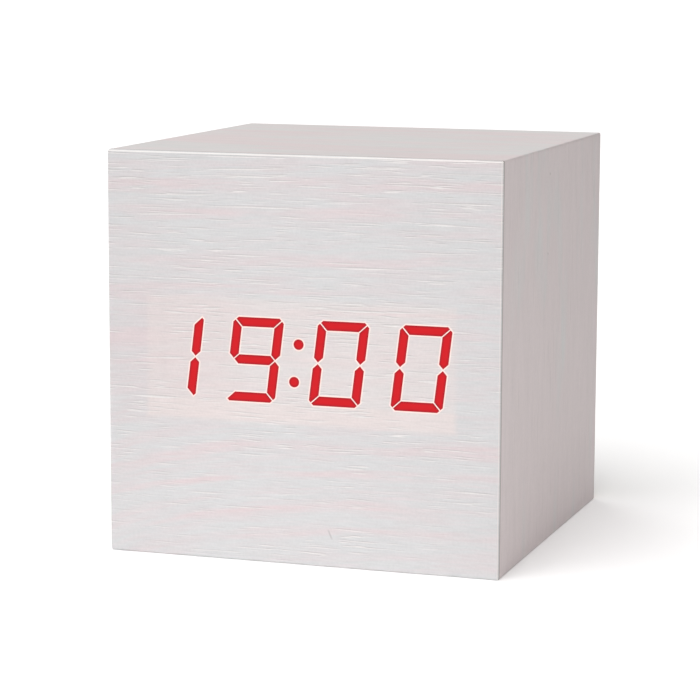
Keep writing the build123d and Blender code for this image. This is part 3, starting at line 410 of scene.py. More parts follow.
def makeFrontFilm():
    look = frontFilm
    film = Finish("frontFilm")
    low, high = [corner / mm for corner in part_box("front_veneer")]
    x, z = film.x, film.z
    fromLeft = x - low.x
    hill = 1 - film.maths("EXPONENT", fromLeft * (-1 / look["riseLength"]))
    lowShare = film.step(z, look["riseTop"], look["riseBottom"])
    sway = (film.grained(x, z, look["swayGrain"]) - 0.5) * look["sway"]
    level = z - lowShare * hill * look["rise"] - fromLeft * look["tilt"] + sway
    run = z + sway * look["cutSway"]

    # pink growth bands, worn through in places, and a finer pink mottle over all
    bands = [
        film.step(abs(level - height), halfWidth * look["bandSpread"], 0.0) * strength
        for height, halfWidth, strength in look["bands"]
    ]
    worn = film.step(film.grained(x, level, look["wornGrain"]), *look["wornStep"])
    wash = film.step(film.grained(x, level, look["washGrain"]), *look["washStep"])
    mottle = film.grained(x, level, look["mottleGrain"]) - 0.5
    blushX, blushZ, radius, strength = look["blush"]
    blushAway = film.length(x - blushX, z - blushZ)
    blush = film.step(blushAway, radius, radius * look["blushCore"]) * strength
    pink = sum(bands[1:], bands[0]) * worn * look["bandShare"]
    pink = pink + wash * look["washShare"] + mottle * look["mottleShare"] + blush
    pink = film.largest(film.smallest(pink, 1.0), 0.0)

    # fine cuts along the grain: a painted highlight on each lower lip under painted shade on the upper one
    upper = (z - figures["centreZ"]) * look["upperCuts"]
    clump = film.step(film.grained(x, run, look["clumpGrain"]) + upper, *look["clumpStep"])
    below = run - look["cutOffset"]
    bright = film.step(film.grained(x, run, look["cutGrain"]), *look["cutStep"]) * clump
    dark = film.step(film.grained(x, below, look["cutGrain"]), *look["cutStep"]) * clump
    longBright = film.step(film.grained(x, run, look["longCutGrain"]) + upper, *look["longCutStep"])
    longDark = film.step(film.grained(x, below, look["longCutGrain"]) + upper, *look["longCutStep"])

    # the window, its strip and the soft shade at its left end
    across = abs(x - look["windowX"]) - look["windowHalfWidth"]
    upward = abs(z - look["windowZ"]) - look["windowHalfHeight"]
    inWindow = film.step(film.largest(across, upward), look["windowSoft"], -look["windowSoft"])
    stripEdge = (look["stripTop"] + look["stripSoft"], look["stripTop"] - look["stripSoft"])
    strip = inWindow * film.step(z, *stripEdge)
    shade = inWindow * film.step(abs(x - look["shadeX"]), look["shadeWidth"], look["shadeCore"]) * (1 - strip)

    colour = film.blend(look["grey"], look["pink"], pink)
    windowShare = inWindow * look["windowShare"] + strip * look["stripShare"]
    colour = film.blend(colour, look["window"], windowShare)
    # painted shade on the cuts' upper lips and at the window's left end
    darkest = film.largest(dark * look["cutDark"], longDark * look["longCutDark"], shade * look["shadeShare"])
    colour = film.blend(colour, look["shadeAndNick"], darkest)
    # painted highlight on the cuts' lower lips
    brightest = film.largest(bright * look["cutBright"], longBright * look["longCutBright"])
    colour = film.blend(colour, look["cutHighlight"], brightest)
    nickX, nickZ, lean, halfLength, halfWidth, strength = look["nick"]
    lengthCore, widthCore = look["nickCore"]
    nick = film.step(abs(z - nickZ), halfLength, halfLength * lengthCore)
    aside = abs(x - nickX + (z - nickZ) * lean)
    nick = nick * film.step(aside, halfWidth, halfWidth * widthCore)
    colour = film.blend(colour, look["shadeAndNick"], nick * strength)

    fine = film.grained(x, run, look["fineGrain"]) - 0.5
    streak = film.grained(x, level, look["streakGrain"]) - 0.5
    weave = film.grained(x, z, look["weaveGrain"]) - 0.5
    # painted shading, darker upwards and out to the sides, then the blush's own darker tone
    paintedShadeAndBlush = look["level"] - x * x * look["sideShade"] - (z - figures["centreZ"]) * look["upwardShade"]
    paintedShadeAndBlush = paintedShadeAndBlush - blush * look["blushDark"]
    grain = fine * look["fineShare"] + streak * look["streakShare"] + weave * look["weaveShare"]
    colour = film.lit(colour, paintedShadeAndBlush + grain)

    # light beside the figures, then the painted highlight and painted shade at the edges
    away = figureDistance(film)
    halo = film.step(away, look["haloWidth"], look["haloWidth"] * look["haloCore"])
    bleed = film.step(away, look["bleed"], look["bleed"] * look["bleedCore"])
    colour = film.blend(colour, look["cream"], halo * look["haloShare"])
    colour = film.blend(colour, litLook["unlit"], bleed)
    glow = film.blend(film.blend(black, look["spill"], halo), litLook["rim"], bleed)
    toTop = high.z - z
    toRight = high.x - x
    # a pale line painted along the top and right edges as the edge highlight
    for toEdge, edge in [(toTop, "topHighlight"), (toRight, "sideHighlight")]:
        inset, halfWidth, strength = look[edge]
        line = film.step(abs(toEdge - inset), halfWidth, halfWidth * look["edgeCore"])
        colour = film.blend(colour, look["edgeHighlight"], line * strength)
    # painted shade along the outermost rim of the top, right and left edges
    nearest = film.smallest(toTop, toRight, fromLeft)
    roll = film.step(nearest, look["edgeShadeWidth"], look["edgeShadeWidth"] * look["edgeCore"])
    colour = film.blend(colour, look["rolledEdgeShade"], roll * look["edgeShadeShare"])

    height = weave * look["weaveHeight"] + fine * look["fineHeight"] - film.largest(bright, longBright)
    return film.surface({
        "Base Color": colour,
        "Roughness": look["roughness"] + bright * look["cutRoughness"],
        "Normal": film.relief(height, look["cutDepth"], look["cutRelief"]),
        "Specular IOR Level": look["specular"],
        "Emission Color": glow,
        "Emission Strength": 1.0,
    })


caseLook = {
    "round": 0.3,
    "steps": 3,
    "seam": 0.07,
    "rearRound": 0.25,
    # how squarely a face has to look back or inwards to be bare, and how near a mitre's slope it may be
    "lookingBack": 0.99,
    "lookingIn": 0.1,
    "mitreSlack": 0.01,
}
wrapFilm = {
    "grey": paint(219, 217, 216),
    "pink": paint(223, 212, 212),
    "pore": paint(186, 178, 176),
    # painted shade colour for the seam behind the front sheet
    "seam": paint(150, 142, 139),
    # noise layers: scales along X, Y and Z, then detail; the grain runs round the case
    "broad": ((0.03, 0.1, 0.03), 2.0),
    "fine": ((0.09, 0.55, 0.09), 3.0),
    "pores": ((0.11, 2.6, 0.11), 1.0),
    "grain": ((0.5, 2.2, 0.5), 2.0),
    "weave": ((2.4, 2.4, 2.4), 1.0),
    "pinkStep": (0.38, 0.64),
    "poreStep": (0.66, 0.78),
    "finePink": 0.3,
    "poreShare": 0.3,
    # painted shade in the seam behind the front sheet, where it starts and ends along Y
    "seamShadeStep": (-30.15, -30.4),
    "seamShadeShare": 0.85,
    # two tiny dark specks on the right side: place along Y, height, radius
    "specks": [(-3.2, 57.9, 0.32), (-3.8, 45.6, 0.28)],
    "speckCore": 0.3,
    # the right board: more pink, and painted shade that makes it darker, more so per millimetre towards its
    # back and top
    "rightPink": 0.16,
    "rightShade": 0.066,
    "rightBack": 0.0014,
    "rightUp": 0.0021,
    "fineShare": 0.1,
    "grainShare": 0.07,
    "weaveShare": 0.07,
    "grainHeight": 0.4,
    "depth": 0.03,
    "relief": 0.5,
    "roughness": 0.5,
    "poreRoughness": 0.1,
    "specular": 0.3,
}


def makeWrapFilm():
    look = wrapFilm
    film = Finish("wrapFilm")
    x, y, z = film.x, film.y, film.z
    broad = film.stretched(*look["broad"])
    fine = film.stretched(*look["fine"]) - 0.5
    grain = film.stretched(*look["grain"]) - 0.5
    weave = film.stretched(*look["weave"]) - 0.5
    pores = film.step(film.stretched(*look["pores"]), *look["poreStep"])

    rightLow, rightHigh = [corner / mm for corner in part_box("right_panel")]
    onRight = film.step(x, rightHigh.x - caseLook["round"], rightHigh.x)
    pink = film.step(broad + fine * look["finePink"] + onRight * look["rightPink"], *look["pinkStep"])
    colour = film.blend(look["grey"], look["pink"], pink)
    colour = film.blend(colour, look["pore"], pores * look["poreShare"])
    for placeY, placeZ, radius in look["specks"]:
        away = film.length(y - placeY, z - placeZ)
        speck = film.step(away, radius, radius * look["speckCore"]) * onRight
        colour = film.blend(colour, look["pore"], speck)
    # painted shade in the seam behind the front sheet
    colour = film.blend(colour, look["seam"], film.step(y, *look["seamShadeStep"]) * look["seamShadeShare"])

    # painted shade on the right side, darker towards its back and top
    middle = (rightLow + rightHigh) / 2
    darker = (y - middle.y) * look["rightBack"] + (z - middle.z) * look["rightUp"]
    shade = 1.0 - onRight * (darker + look["rightShade"])
    shade = shade + fine * look["fineShare"] + grain * look["grainShare"] + weave * look["weaveShare"]
    height = (weave + grain) * look["grainHeight"] - pores
    return film.surface({
        "Base Color": film.lit(colour, shade),
        "Roughness": look["roughness"] + pores * look["poreRoughness"],
        "Normal": film.relief(height, look["depth"], look["relief"]),
        "Specular IOR Level": look["specular"],
    })


fibreboardLook = {
    "dark": paint(193, 165, 131),
    "light": paint(214, 189, 156),
    "speck": paint(150, 120, 90),
    "fibre": (5.5, 4.0, 0.7),
    "fibreStep": (0.25, 0.75),
    "speckScale": 4.2,
    "speckStep": (0.2, 0.06),
    "speckShare": 0.35,
    "cloud": 0.5,
    "level": 0.95,
    "cloudShare": 0.1,
    "roughness": 0.82,
    "fibreRoughness": 0.1,
    "depth": 0.05,
    "relief": 0.6,
    "specular": 0.2,
}


def makeFibreboard():
    look = fibreboardLook
    board = Finish("fibreboard")
    fibre = board.even(*look["fibre"])
    cloud = board.even(look["cloud"])
    speck = board.step(board.cells(look["speckScale"]), *look["speckStep"])
    colour = board.blend(look["dark"], look["light"], board.step(fibre, *look["fibreStep"]))
    colour = board.blend(colour, look["speck"], speck * look["speckShare"])
    return board.surface({
        "Base Color": board.lit(colour, look["level"] + cloud * look["cloudShare"]),
        "Roughness": look["roughness"] + fibre * look["fibreRoughness"],
        "Normal": board.relief(fibre, look["depth"], look["relief"]),
        "Specular IOR Level": look["specular"],
    })


plasticLook = {
    "cloud": (0.12, 3.0),
    "sparkDetail": 2.0,
    "sparkRoughness": 0.6,
    "cloudGloss": 0.12,
    "sparkGloss": 0.1,
    "relief": 0.7,
}


def makePlastic(name, colour, roughness=0.4, grain=3.5, depth=0.02, specular=0.4, variation=0.08):
    # moulded plastic with a fine sparked texture
    look = plasticLook
    plastic = Finish(name)
    cloud = plastic.even(*look["cloud"]) - 0.5
    spark = plastic.even(grain, look["sparkDetail"], look["sparkRoughness"])
    fine = spark - 0.5
    return plastic.surface({
        "Base Color": plastic.lit(colour, 1.0 + (cloud + fine) * variation),
        "Roughness": roughness + cloud * look["cloudGloss"] + fine * look["sparkGloss"],
        "Normal": plastic.relief(spark, depth, look["relief"]),
        "Specular IOR Level": specular,
    })


metalLook = {
    "marksDetail": 3.0,
    "cloud": (0.3, 3.0),
    "level": 0.96,
    "cloudShare": 0.1,
    "marksGloss": 0.12,
    "cloudGloss": 0.14,
    "depth": 0.006,
    "relief": 0.5,
}


def makeMetal(name, colour, roughness=0.28, brush=(3.0, 3.0, 3.0)):
    # bright metal with fine drawing marks and a little tarnish
    look = metalLook
    metal = Finish(name)
    marks = metal.stretched(brush, look["marksDetail"])
    cloud = metal.even(*look["cloud"])
    gloss = (marks - 0.5) * look["marksGloss"] + (cloud - 0.5) * look["cloudGloss"]
    return metal.surface({
        "Base Color": metal.lit(colour, look["level"] + cloud * look["cloudShare"]),
        "Metallic": 1.0,
        "Roughness": roughness + gloss,
        "Normal": metal.relief(marks, look["depth"], look["relief"]),
    })


clearLook = {
    "cloud": (0.8, 3.0),
    "level": 0.92,
    "cloudShare": 0.12,
    "roughness": 0.12,
    "cloudGloss": 0.1,
    "transmission": 0.6,
    "ior": 1.5,
}


def makeClear(name, colour):
    look = clearLook
    resin = Finish(name)
    cloud = resin.even(*look["cloud"])
    return resin.surface({
        "Base Color": resin.lit(colour, look["level"] + cloud * look["cloudShare"]),
        "Roughness": look["roughness"] + cloud * look["cloudGloss"],
        "Transmission Weight": look["transmission"],
        "IOR": look["ior"],
    })


circuitLook = {
    "mask": paint(18, 74, 44),
    "copper": paint(30, 104, 62),
    "wander": (0.3, 0.3, 0.0, 2.0),
    "wanderWidth": 1.6,
    "linesX": 2.1,
    "linesZ": 1.7,
    "lineStep": (0.16, 0.2),
    "glaze": (0.5, 3.0),
    "level": 0.9,
    "glazeShare": 0.2,
    "roughness": 0.3,
    "glazeGloss": 0.15,
    "depth": 0.03,
    "relief": 0.6,
    "coat": 0.3,
    "glazeCoat": 0.1,
}


def makeCircuitBoard():
    look = circuitLook
    board = Finish("circuitBoard")
    wander = (board.grained(board.x, board.z, look["wander"]) - 0.5) * look["wanderWidth"]
    upright = abs(board.maths("SINE", (board.x + wander) * look["linesX"]))
    level = abs(board.maths("SINE", (board.z - wander) * look["linesZ"]))
    copper = board.step(upright * level, *look["lineStep"])
    glaze = board.even(*look["glaze"])
    colour = board.blend(look["mask"], look["copper"], copper)
    return board.surface({
        "Base Color": board.lit(colour, look["level"] + glaze * look["glazeShare"]),
        "Roughness": look["roughness"] + glaze * look["glazeGloss"],
        "Normal": board.relief(copper, look["depth"], look["relief"]),
        "Coat Weight": look["coat"] + glaze * look["glazeCoat"],
    })


sleeveLook = {
    "body": paint(38, 44, 60),
    "band": paint(186, 190, 196),
    "bandShare": 0.2,
    "bandSoft": 0.15,
    "bandMetal": 0.7,
    "ripple": ((0.3, 0.5, 0.5), 1.0),
    "level": 0.96,
    "roughness": 0.24,
    "rippleShare": 0.08,
    "coat": 0.35,
    "rippleCoat": 0.1,
}


def makeSleeve():
    # a plain shrunk sleeve, dark with a silver end, no lettering; the middle cell lies the other way
    look = sleeveLook
    sleeve = Finish("cellSleeve")
    low, high = [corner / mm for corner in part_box("battery_sleeves")]
    length = high.x - low.x
    turned = abs(sleeve.z - (low.z + high.z) / 2) < (high.z - low.z) / 6
    fromNub = length / 2 - sleeve.x * (1 - turned * 2)
    bandEnd = length * look["bandShare"]
    band = sleeve.step(fromNub, bandEnd, bandEnd - look["bandSoft"])
    ripple = sleeve.stretched(*look["ripple"])
    colour = sleeve.blend(look["body"], look["band"], band)
    return sleeve.surface({
        "Base Color": sleeve.lit(colour, look["level"] + ripple * look["rippleShare"]),
        "Roughness": look["roughness"] + ripple * look["rippleShare"],
        "Metallic": band * look["bandMetal"],
        "Coat Weight": look["coat"] + ripple * look["rippleCoat"],
    })


finishes = {
    "wood_film": makeWrapFilm(),
    "front_veneer": makeFrontFilm(),
    "lit_red": makeLitRed(),
    "fibreboard": makeFibreboard(),
    "white_plastic": makePlastic("whitePlastic", paint(228, 228, 224), roughness=0.42),
    "clear_resin": makeClear("clearResin", paint(238, 232, 226)),
    "led_chip": makePlastic("ledChip", paint(236, 214, 150), roughness=0.3, specular=0.5),
    "circuit_board": makeCircuitBoard(),
    "zinc_steel": makeMetal("zincSteel", paint(188, 192, 198), roughness=0.3),
    "black_steel": makeMetal("blackSteel", paint(48, 47, 49), roughness=0.34),
    "tinned_metal": makeMetal("tinnedMetal", paint(206, 206, 202), roughness=0.24),
    "nickel_steel": makeMetal("nickelSteel", paint(204, 200, 190), roughness=0.2, brush=(0.8, 4.0, 0.8)),
    "cell_metal": makeMetal("cellMetal", paint(198, 200, 204), roughness=0.24, brush=(0.5, 3.0, 3.0)),
    "cell_sleeve": makeSleeve(),
    "chip_black": makePlastic("chipBlack", paint(34, 34, 36), roughness=0.55, grain=5.0),
    "capacitor_sleeve": makePlastic("capacitorSleeve", paint(28, 34, 58), roughness=0.3, grain=1.5),
    "black_plastic": makePlastic(
        "blackPlastic", paint(34, 34, 36), roughness=0.34, grain=5.0, depth=0.03, specular=0.5, variation=0.14
    ),
    "button_plastic": makePlastic(
        "buttonPlastic", paint(48, 48, 51), roughness=0.24, grain=2.5, depth=0.008, specular=0.5
    ),
    "red_insulation": makePlastic("redInsulation", paint(172, 26, 24), roughness=0.36, grain=1.5),
    "black_insulation": makePlastic("blackInsulation", paint(26, 26, 27), roughness=0.36, grain=1.5),
    "grey_insulation": makePlastic("greyInsulation", paint(150, 152, 156), grain=1.5),
    "sensor_glass": makeClear("sensorGlass", paint(196, 120, 62)),
}
for node in nodes.values():
    for materialSlot in node.material_slots:
        materialSlot.material = finishes[materialSlot.material.name.split(".")[0]]
print("finishes made:", len(finishes))


# Mesh helpers

meshLook = {"sharpAngle": 35, "flatAngle": 0.5, "weld": 1e-6, "fineWeld": 1e-7}


def piece(name, bm, body, slots, replaced=()):
    # a finished mesh becomes a piece that rides on a body, with a material for each listed slot
    mesh = bpy.data.meshes.new(name)
    bm.to_mesh(mesh)
    bm.free()
    for slotName in slots:
        mesh.materials.append(finishes[slotName])
    mesh.shade_smooth()
    mesh.set_sharp_from_angle(angle=math.radians(meshLook["sharpAngle"]))
    made = bpy.data.objects.new(name, mesh)
    bpy.context.scene.collection.objects.link(made)
    shading = made.modifiers.new("flatFaces", "WEIGHTED_NORMAL")
    shading.keep_sharp = True
    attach(made, body)
    if replaced:
        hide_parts(*replaced)
    return made


def rounded(bm, width, segments=3, wanted=None, angle=30):
    # bevels the sharp edges that wanted picks
    edges = [
        edge
        for edge in bm.edges
        if len(edge.link_faces) == 2
        and edge.calc_face_angle() > math.radians(angle)
        and (wanted is None or wanted(edge))
    ]
    bmesh.ops.bevel(
        bm,
        geom=edges,
        offset=width,
        offset_type="OFFSET",
        segments=segments,
        profile=0.5,
        affect="EDGES",
        material=-1,
        clamp_overlap=True,
    )


def block(low, high):
    bm = bmesh.new()
    bmesh.ops.create_cube(bm, size=1)
    low = Vector(low)
    high = Vector(high)
    bmesh.ops.scale(bm, verts=bm.verts, vec=high - low)
    bmesh.ops.translate(bm, verts=bm.verts, vec=(low + high) / 2)
    return bm


def lathe(profile, centre, axis, steps):
    # spins (radius, distance along the axis) points about the axis through centre
    bm = bmesh.new()
    along = Vector(axis)
    out = along.orthogonal().normalized()
    corners = [bm.verts.new(Vector(centre) + out * radius + along * place) for radius, place in profile]
    for first, second in zip(corners, corners[1:]):
        bm.edges.new((first, second))
    bmesh.ops.spin(
        bm,
        geom=bm.verts[:] + bm.edges[:],
        cent=centre,
        axis=along,
        angle=math.tau,
        steps=steps,
        use_merge=True,
    )
    bmesh.ops.remove_doubles(bm, verts=bm.verts, dist=meshLook["fineWeld"])
    bmesh.ops.recalc_face_normals(bm, faces=bm.faces)
    return bm


def copyOf(nodeName):
    # a CAD node's triangles, merged into whole faces
    bm = bmesh.new()
    bm.from_mesh(nodes[nodeName].data)
    bmesh.ops.remove_doubles(bm, verts=bm.verts, dist=meshLook["weld"])
    flat = math.radians(meshLook["flatAngle"])
    bmesh.ops.dissolve_limit(bm, angle_limit=flat, verts=bm.verts, edges=bm.edges)
    for face in bm.faces:
        face.material_index = 0
    return bm


def joined(parts):
    # several meshes as one
    whole = bmesh.new()
    for part in parts:
        mesh = bpy.data.meshes.new("part")
        part.to_mesh(mesh)
        part.free()
        whole.from_mesh(mesh)
        bpy.data.meshes.remove(mesh)
    return whole


def carved(bm, cutter):
    # bm with cutter taken out of it
    held = []
    for name, shape in [("solid", bm), ("cutter", cutter)]:
        mesh = bpy.data.meshes.new(name)
        shape.to_mesh(mesh)
        shape.free()
        held.append(bpy.data.objects.new(name, mesh))
        bpy.context.scene.collection.objects.link(held[-1])
    cut = held[0].modifiers.new("cut", "BOOLEAN")
    cut.operation = "DIFFERENCE"
    cut.solver = "EXACT"
    cut.object = held[1]
    bpy.context.view_layer.update()
    result = bmesh.new()
    result.from_object(held[0], bpy.context.evaluated_depsgraph_get())
    for done in held:
        mesh = done.data
        bpy.data.objects.remove(done)
        bpy.data.meshes.remove(mesh)
    return result


def middleOf(nodeName):
    # the middle of a node's box, at the origin's depth
    low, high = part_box(nodeName)
    return ((low.x + high.x) / 2, 0, (low.z + high.z) / 2)


def atBack(limit):
    return lambda edge: all(vert.co.y > limit for vert in edge.verts)


# Case boards

def caseBoard(name, nodeName, quarterTurns):
    # the whole tube's block, rounded, then cut down to one mitred board
    look = caseLook
    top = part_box("top_panel")
    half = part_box("front_veneer")[1].x
    wall = top[1].z - top[0].z
    front = top[0].y
    rear = top[1].y
    bm = block((-half, front, -half), (half, rear, half))

    def longEdge(edge):
        return abs(edge.verts[0].co.y - edge.verts[1].co.y) > (rear - front) / 2

    def edgeAt(place):
        return lambda edge: all(abs(vert.co.y - place) < meshLook["weld"] for vert in edge.verts)

    rounded(bm, look["round"] * mm, look["steps"], longEdge)
    rounded(bm, look["seam"] * mm, segments=1, wanted=edgeAt(front))
    rounded(bm, look["rearRound"] * mm, look["steps"], edgeAt(rear))
    cuts = [((0, 0, half - wall), (0, 0, 1)), ((0, 0, 0), (-1, 0, 1)), ((0, 0, 0), (1, 0, 1))]
    for point, normal in cuts:
        cut = bmesh.ops.bisect_plane(
            bm,
            geom=bm.verts[:] + bm.edges[:] + bm.faces[:],
            dist=meshLook["fineWeld"],
            plane_co=point,
            plane_no=normal,
            clear_inner=True,
        )
        rim = [part for part in cut["geom_cut"] if isinstance(part, bmesh.types.BMEdge)]
        bmesh.ops.edgeloop_fill(bm, edges=rim)
    bmesh.ops.recalc_face_normals(bm, faces=bm.faces)

    # bare board on the back, the inside and the mitres
    for face in bm.faces:
        way = face.normal
        sloping = abs(abs(way.x) - abs(way.z)) < look["mitreSlack"]
        mitre = sloping and way.x * face.calc_center_median().x < 0
        bare = way.y > look["lookingBack"] or way.z < -look["lookingIn"] or mitre
        face.material_index = 1 if bare else 0
    turn = Matrix.Rotation(math.tau / 4 * quarterTurns, 4, "Y")
    bmesh.ops.transform(bm, matrix=Matrix.Translation((0, 0, half)) @ turn, verts=bm.verts)
    return piece(name, bm, "case", ["wood_film", "fibreboard"], [nodeName])


for turns, side in enumerate(["top", "right", "bottom", "left"]):
    caseBoard(f"{side}Board", f"{side}_panel", turns)

sheetLook = {"round": 0.09, "rim": 0.4}


def frontSheet():
    # the thin front sheet with the figures' places let into it
    low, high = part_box("front_veneer")
    bm = copyOf("front_veneer")
    rim = sheetLook["rim"] * mm

    def outside(edge):
        return all(
            abs(vert.co.x) > high.x - rim or vert.co.z < low.z + rim or vert.co.z > high.z - rim
            for vert in edge.verts
        )

    rounded(bm, sheetLook["round"] * mm, segments=2, wanted=outside, angle=20)
    return piece("frontSheet", bm, "case", ["front_veneer"], ["front_veneer"])


frontSheet()
print("case made")


# Rear cover, door, latch and socket

rearLook = {
    "coverRound": 0.2,
    "doorRound": 0.24,
    "latchRound": 0.15,
    "noseRound": 0.3,
    "pinRound": 0.45,
    # how near the back an edge has to be to be rounded
    "coverReach": 0.3,
    "noseReach": 0.05,
    "pinSteps": 40,
}


def rearPieces():
    look = rearLook
    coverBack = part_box("rear_cover")[1].y - look["coverReach"] * mm
    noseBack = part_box("power_socket_housing")[1].y - look["noseReach"] * mm
    # name, node, body, rounding, segments, wanted edges, least angle
    rows = [
        ("rearCover", "rear_cover", "case", "coverRound", 2, atBack(coverBack), 20),
        ("batteryDoor", "battery_door", "battery_door", "doorRound", 2, atBack(coverBack), 20),
        ("doorLatch", "battery_door_latch", "battery_door", "latchRound", 2, None, 40),
        ("socketHousing", "power_socket_housing", "case", "noseRound", 3, atBack(noseBack), 40),
    ]
    for name, nodeName, body, width, segments, wanted, angle in rows:
        bm = copyOf(nodeName)
        rounded(bm, look[width] * mm, segments, wanted, angle)
        piece(name, bm, body, ["black_plastic"], [nodeName])


def socketPin():
    # the pin with a domed tip
    look = rearLook
    low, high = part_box("power_socket_pin")
    radius = (high.x - low.x) / 2
    profile = [(0, low.y), (radius, low.y), (radius, high.y), (0, high.y)]
    bm = lathe(profile, middleOf("power_socket_pin"), (0, 1, 0), look["pinSteps"])
    tipEdges = atBack(high.y - look["noseReach"] * mm)
    rounded(bm, look["pinRound"] * mm, segments=5, wanted=tipEdges, angle=40)
    return piece("socketPin", bm, "case", ["nickel_steel"], ["power_socket_pin"])


rearPieces()
socketPin()
print("rear cover and door made")


# Printed marks over the buttons and the socket

markLook = {
    "ink": 0.05,
    "rise": 4.1,
    "size": 0.75,
    "line": 0.25,
    "ringSteps": 40,
    "barLength": 2.0,
    "barSpacing": 0.6,
    "dashes": 3,
    "dashGap": 0.8,
}


def flatMark(outline, ink):
    # a thin raised print from points across and up, on the cover's back
    bm = bmesh.new()
    face = bm.faces.new([bm.verts.new((across, 0, up)) for across, up in outline])
    moved = bmesh.ops.extrude_face_region(bm, geom=[face])["geom"]
    corners = [part for part in moved if isinstance(part, bmesh.types.BMVert)]
    bmesh.ops.translate(bm, verts=corners, vec=(0, ink, 0))
    bmesh.ops.recalc_face_normals(bm, faces=bm.faces)
    return bm


def rearMarks():
    # a ring for set, arrowheads for up and down, and the plain sign for direct current
    look = markLook
    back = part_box("rear_cover")[1].y
    ink = look["ink"] * mm
    size = look["size"] * mm
    line = look["line"] * mm
    marks = []

    def place(bm, nodeName):
        across, _, up = middleOf(nodeName)
        bmesh.ops.translate(bm, verts=bm.verts, vec=(across, back, up + look["rise"] * mm))
        marks.append(bm)

    ring = [(size, 0), (size, ink), (size - line, ink), (size - line, 0), (size, 0)]
    place(lathe(ring, (0, 0, 0), (0, 1, 0), look["ringSteps"]), "set_button")
    for nodeName, way in [("up_button", 1), ("down_button", -1)]:
        arrow = [(-size, -size * way / 2), (size, -size * way / 2), (0, size * way / 2)]
        place(flatMark(arrow, ink), nodeName)

    half = look["barLength"] * mm / 2
    gap = line * look["dashGap"]
    dash = (2 * half - (look["dashes"] - 1) * gap) / look["dashes"]
    upper = look["barSpacing"] * mm / 2
    bars = [(-half, half, upper)]
    for number in range(look["dashes"]):
        start = -half + number * (dash + gap)
        bars.append((start, start + dash, -upper))
    for start, end, up in bars:
        low = up - line / 2
        high = up + line / 2
        place(flatMark([(start, low), (end, low), (end, high), (start, high)], ink), "power_socket_housing")
    return piece("rearMarks", joined(marks), "case", ["white_plastic"])


rearMarks()
print("rear marks made")


# Buttons

buttonLook = {
    "flangeWidth": 0.8,
    "flangeHeight": 0.8,
    "rim": 0.45,
    "rimRound": 0.22,
    "dish": 0.16,
    "dishSteps": 6,
    "reach": 0.01,
    "steps": 72,
}


def buttonCap(kind):
    # a round cap with a dished face, on its flange
    look = buttonLook
    node = f"{kind}_button"
    low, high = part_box(node)
    flange = (high.x - low.x) / 2
    radius = flange - look["flangeWidth"] * mm
    shoulder = low.y + look["flangeHeight"] * mm
    flat = radius - look["rim"] * mm
    profile = [(0, low.y), (flange, low.y), (flange, shoulder), (radius, shoulder), (radius, high.y)]
    for step in range(look["dishSteps"] + 1):
        share = step / look["dishSteps"]
        profile.append((flat * (1 - share), high.y - look["dish"] * mm * (1 - (1 - share) ** 2)))
    bm = lathe(profile, middleOf(node), (0, 1, 0), look["steps"])
    rimEdges = atBack(high.y - look["reach"] * mm)
    rounded(bm, look["rimRound"] * mm, segments=4, wanted=rimEdges, angle=40)
    return piece(f"{kind}ButtonCap", bm, f"{kind}_button", ["button_plastic"], [node])


for kind in ["set", "up", "down"]:
    buttonCap(kind)
print("buttons made")


# Cover screws

screwLook = {
    "headRadius": 2.25,
    "headHeight": 1.0,
    "shankRadius": 1.25,
    "crown": 0.3,
    "crownPower": 2.6,
    "crownSteps": 8,
    "slotLength": 2.5,
    "slotWidth": 0.55,
    "slotDepth": 0.75,
    "slotFloor": 0.6,
    "steps": 48,
}


def slotCutter(x, z, top, halfX, halfZ):
    # one slot of a cross recess, narrower at its floor
    look = screwLook
    cutter = block((x - halfX, top - look["slotDepth"] * mm, z - halfZ), (x + halfX, top + mm, z + halfZ))
    floor = [vert for vert in cutter.verts if vert.co.y < top]
    squeeze = Matrix.Diagonal((look["slotFloor"], 1, look["slotFloor"], 1))
    centre = Matrix.Translation((x, 0, z))
    bmesh.ops.transform(cutter, matrix=centre @ squeeze @ centre.inverted(), verts=floor)
    return cutter


def coverScrews():
    # four pan heads with cross recesses, one mesh as in the CAD model
    look = screwLook
    low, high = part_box("rear_cover_screws")
    head = look["headRadius"] * mm
    shank = look["shankRadius"] * mm
    under = high.y - look["headHeight"] * mm
    profile = [(0, high.y)]
    for step in range(1, look["crownSteps"] + 1):
        share = step / look["crownSteps"]
        profile.append((head * share, high.y - look["crown"] * mm * share ** look["crownPower"]))
    profile += [(head, under), (shank, under), (shank, low.y + shank), (0, low.y)]
    long = look["slotLength"] * mm / 2
    short = look["slotWidth"] * mm / 2
    screws = []
    for x in (low.x + head, high.x - head):
        for z in (low.z + head, high.z - head):
            screw = lathe(profile, (x, 0, z), (0, 1, 0), look["steps"])
            for halfX, halfZ in [(long, short), (short, long)]:
                screw = carved(screw, slotCutter(x, z, high.y, halfX, halfZ))
            screws.append(screw)
    return piece("coverScrews", joined(screws), "case", ["black_steel"], ["rear_cover_screws"])


coverScrews()
print("screws made")


# Battery cells and their sleeves

cellLook = {
    "length": 44.5,
    "nubRadius": 1.9,
    "nubLength": 1.0,
    "nubFoot": 0.2,
    "nubRound": 0.25,
    # rims and dips of the two ends, in from the can's side
    "topRim": 0.7,
    "topDipStart": 0.9,
    "topDip": 0.3,
    "baseRim": 1.1,
    "baseDipStart": 1.4,
    "baseDip": 0.25,
    "sleeveSetback": 0.9,
    "sleeveGap": 0.02,
    "steps": 64,
}


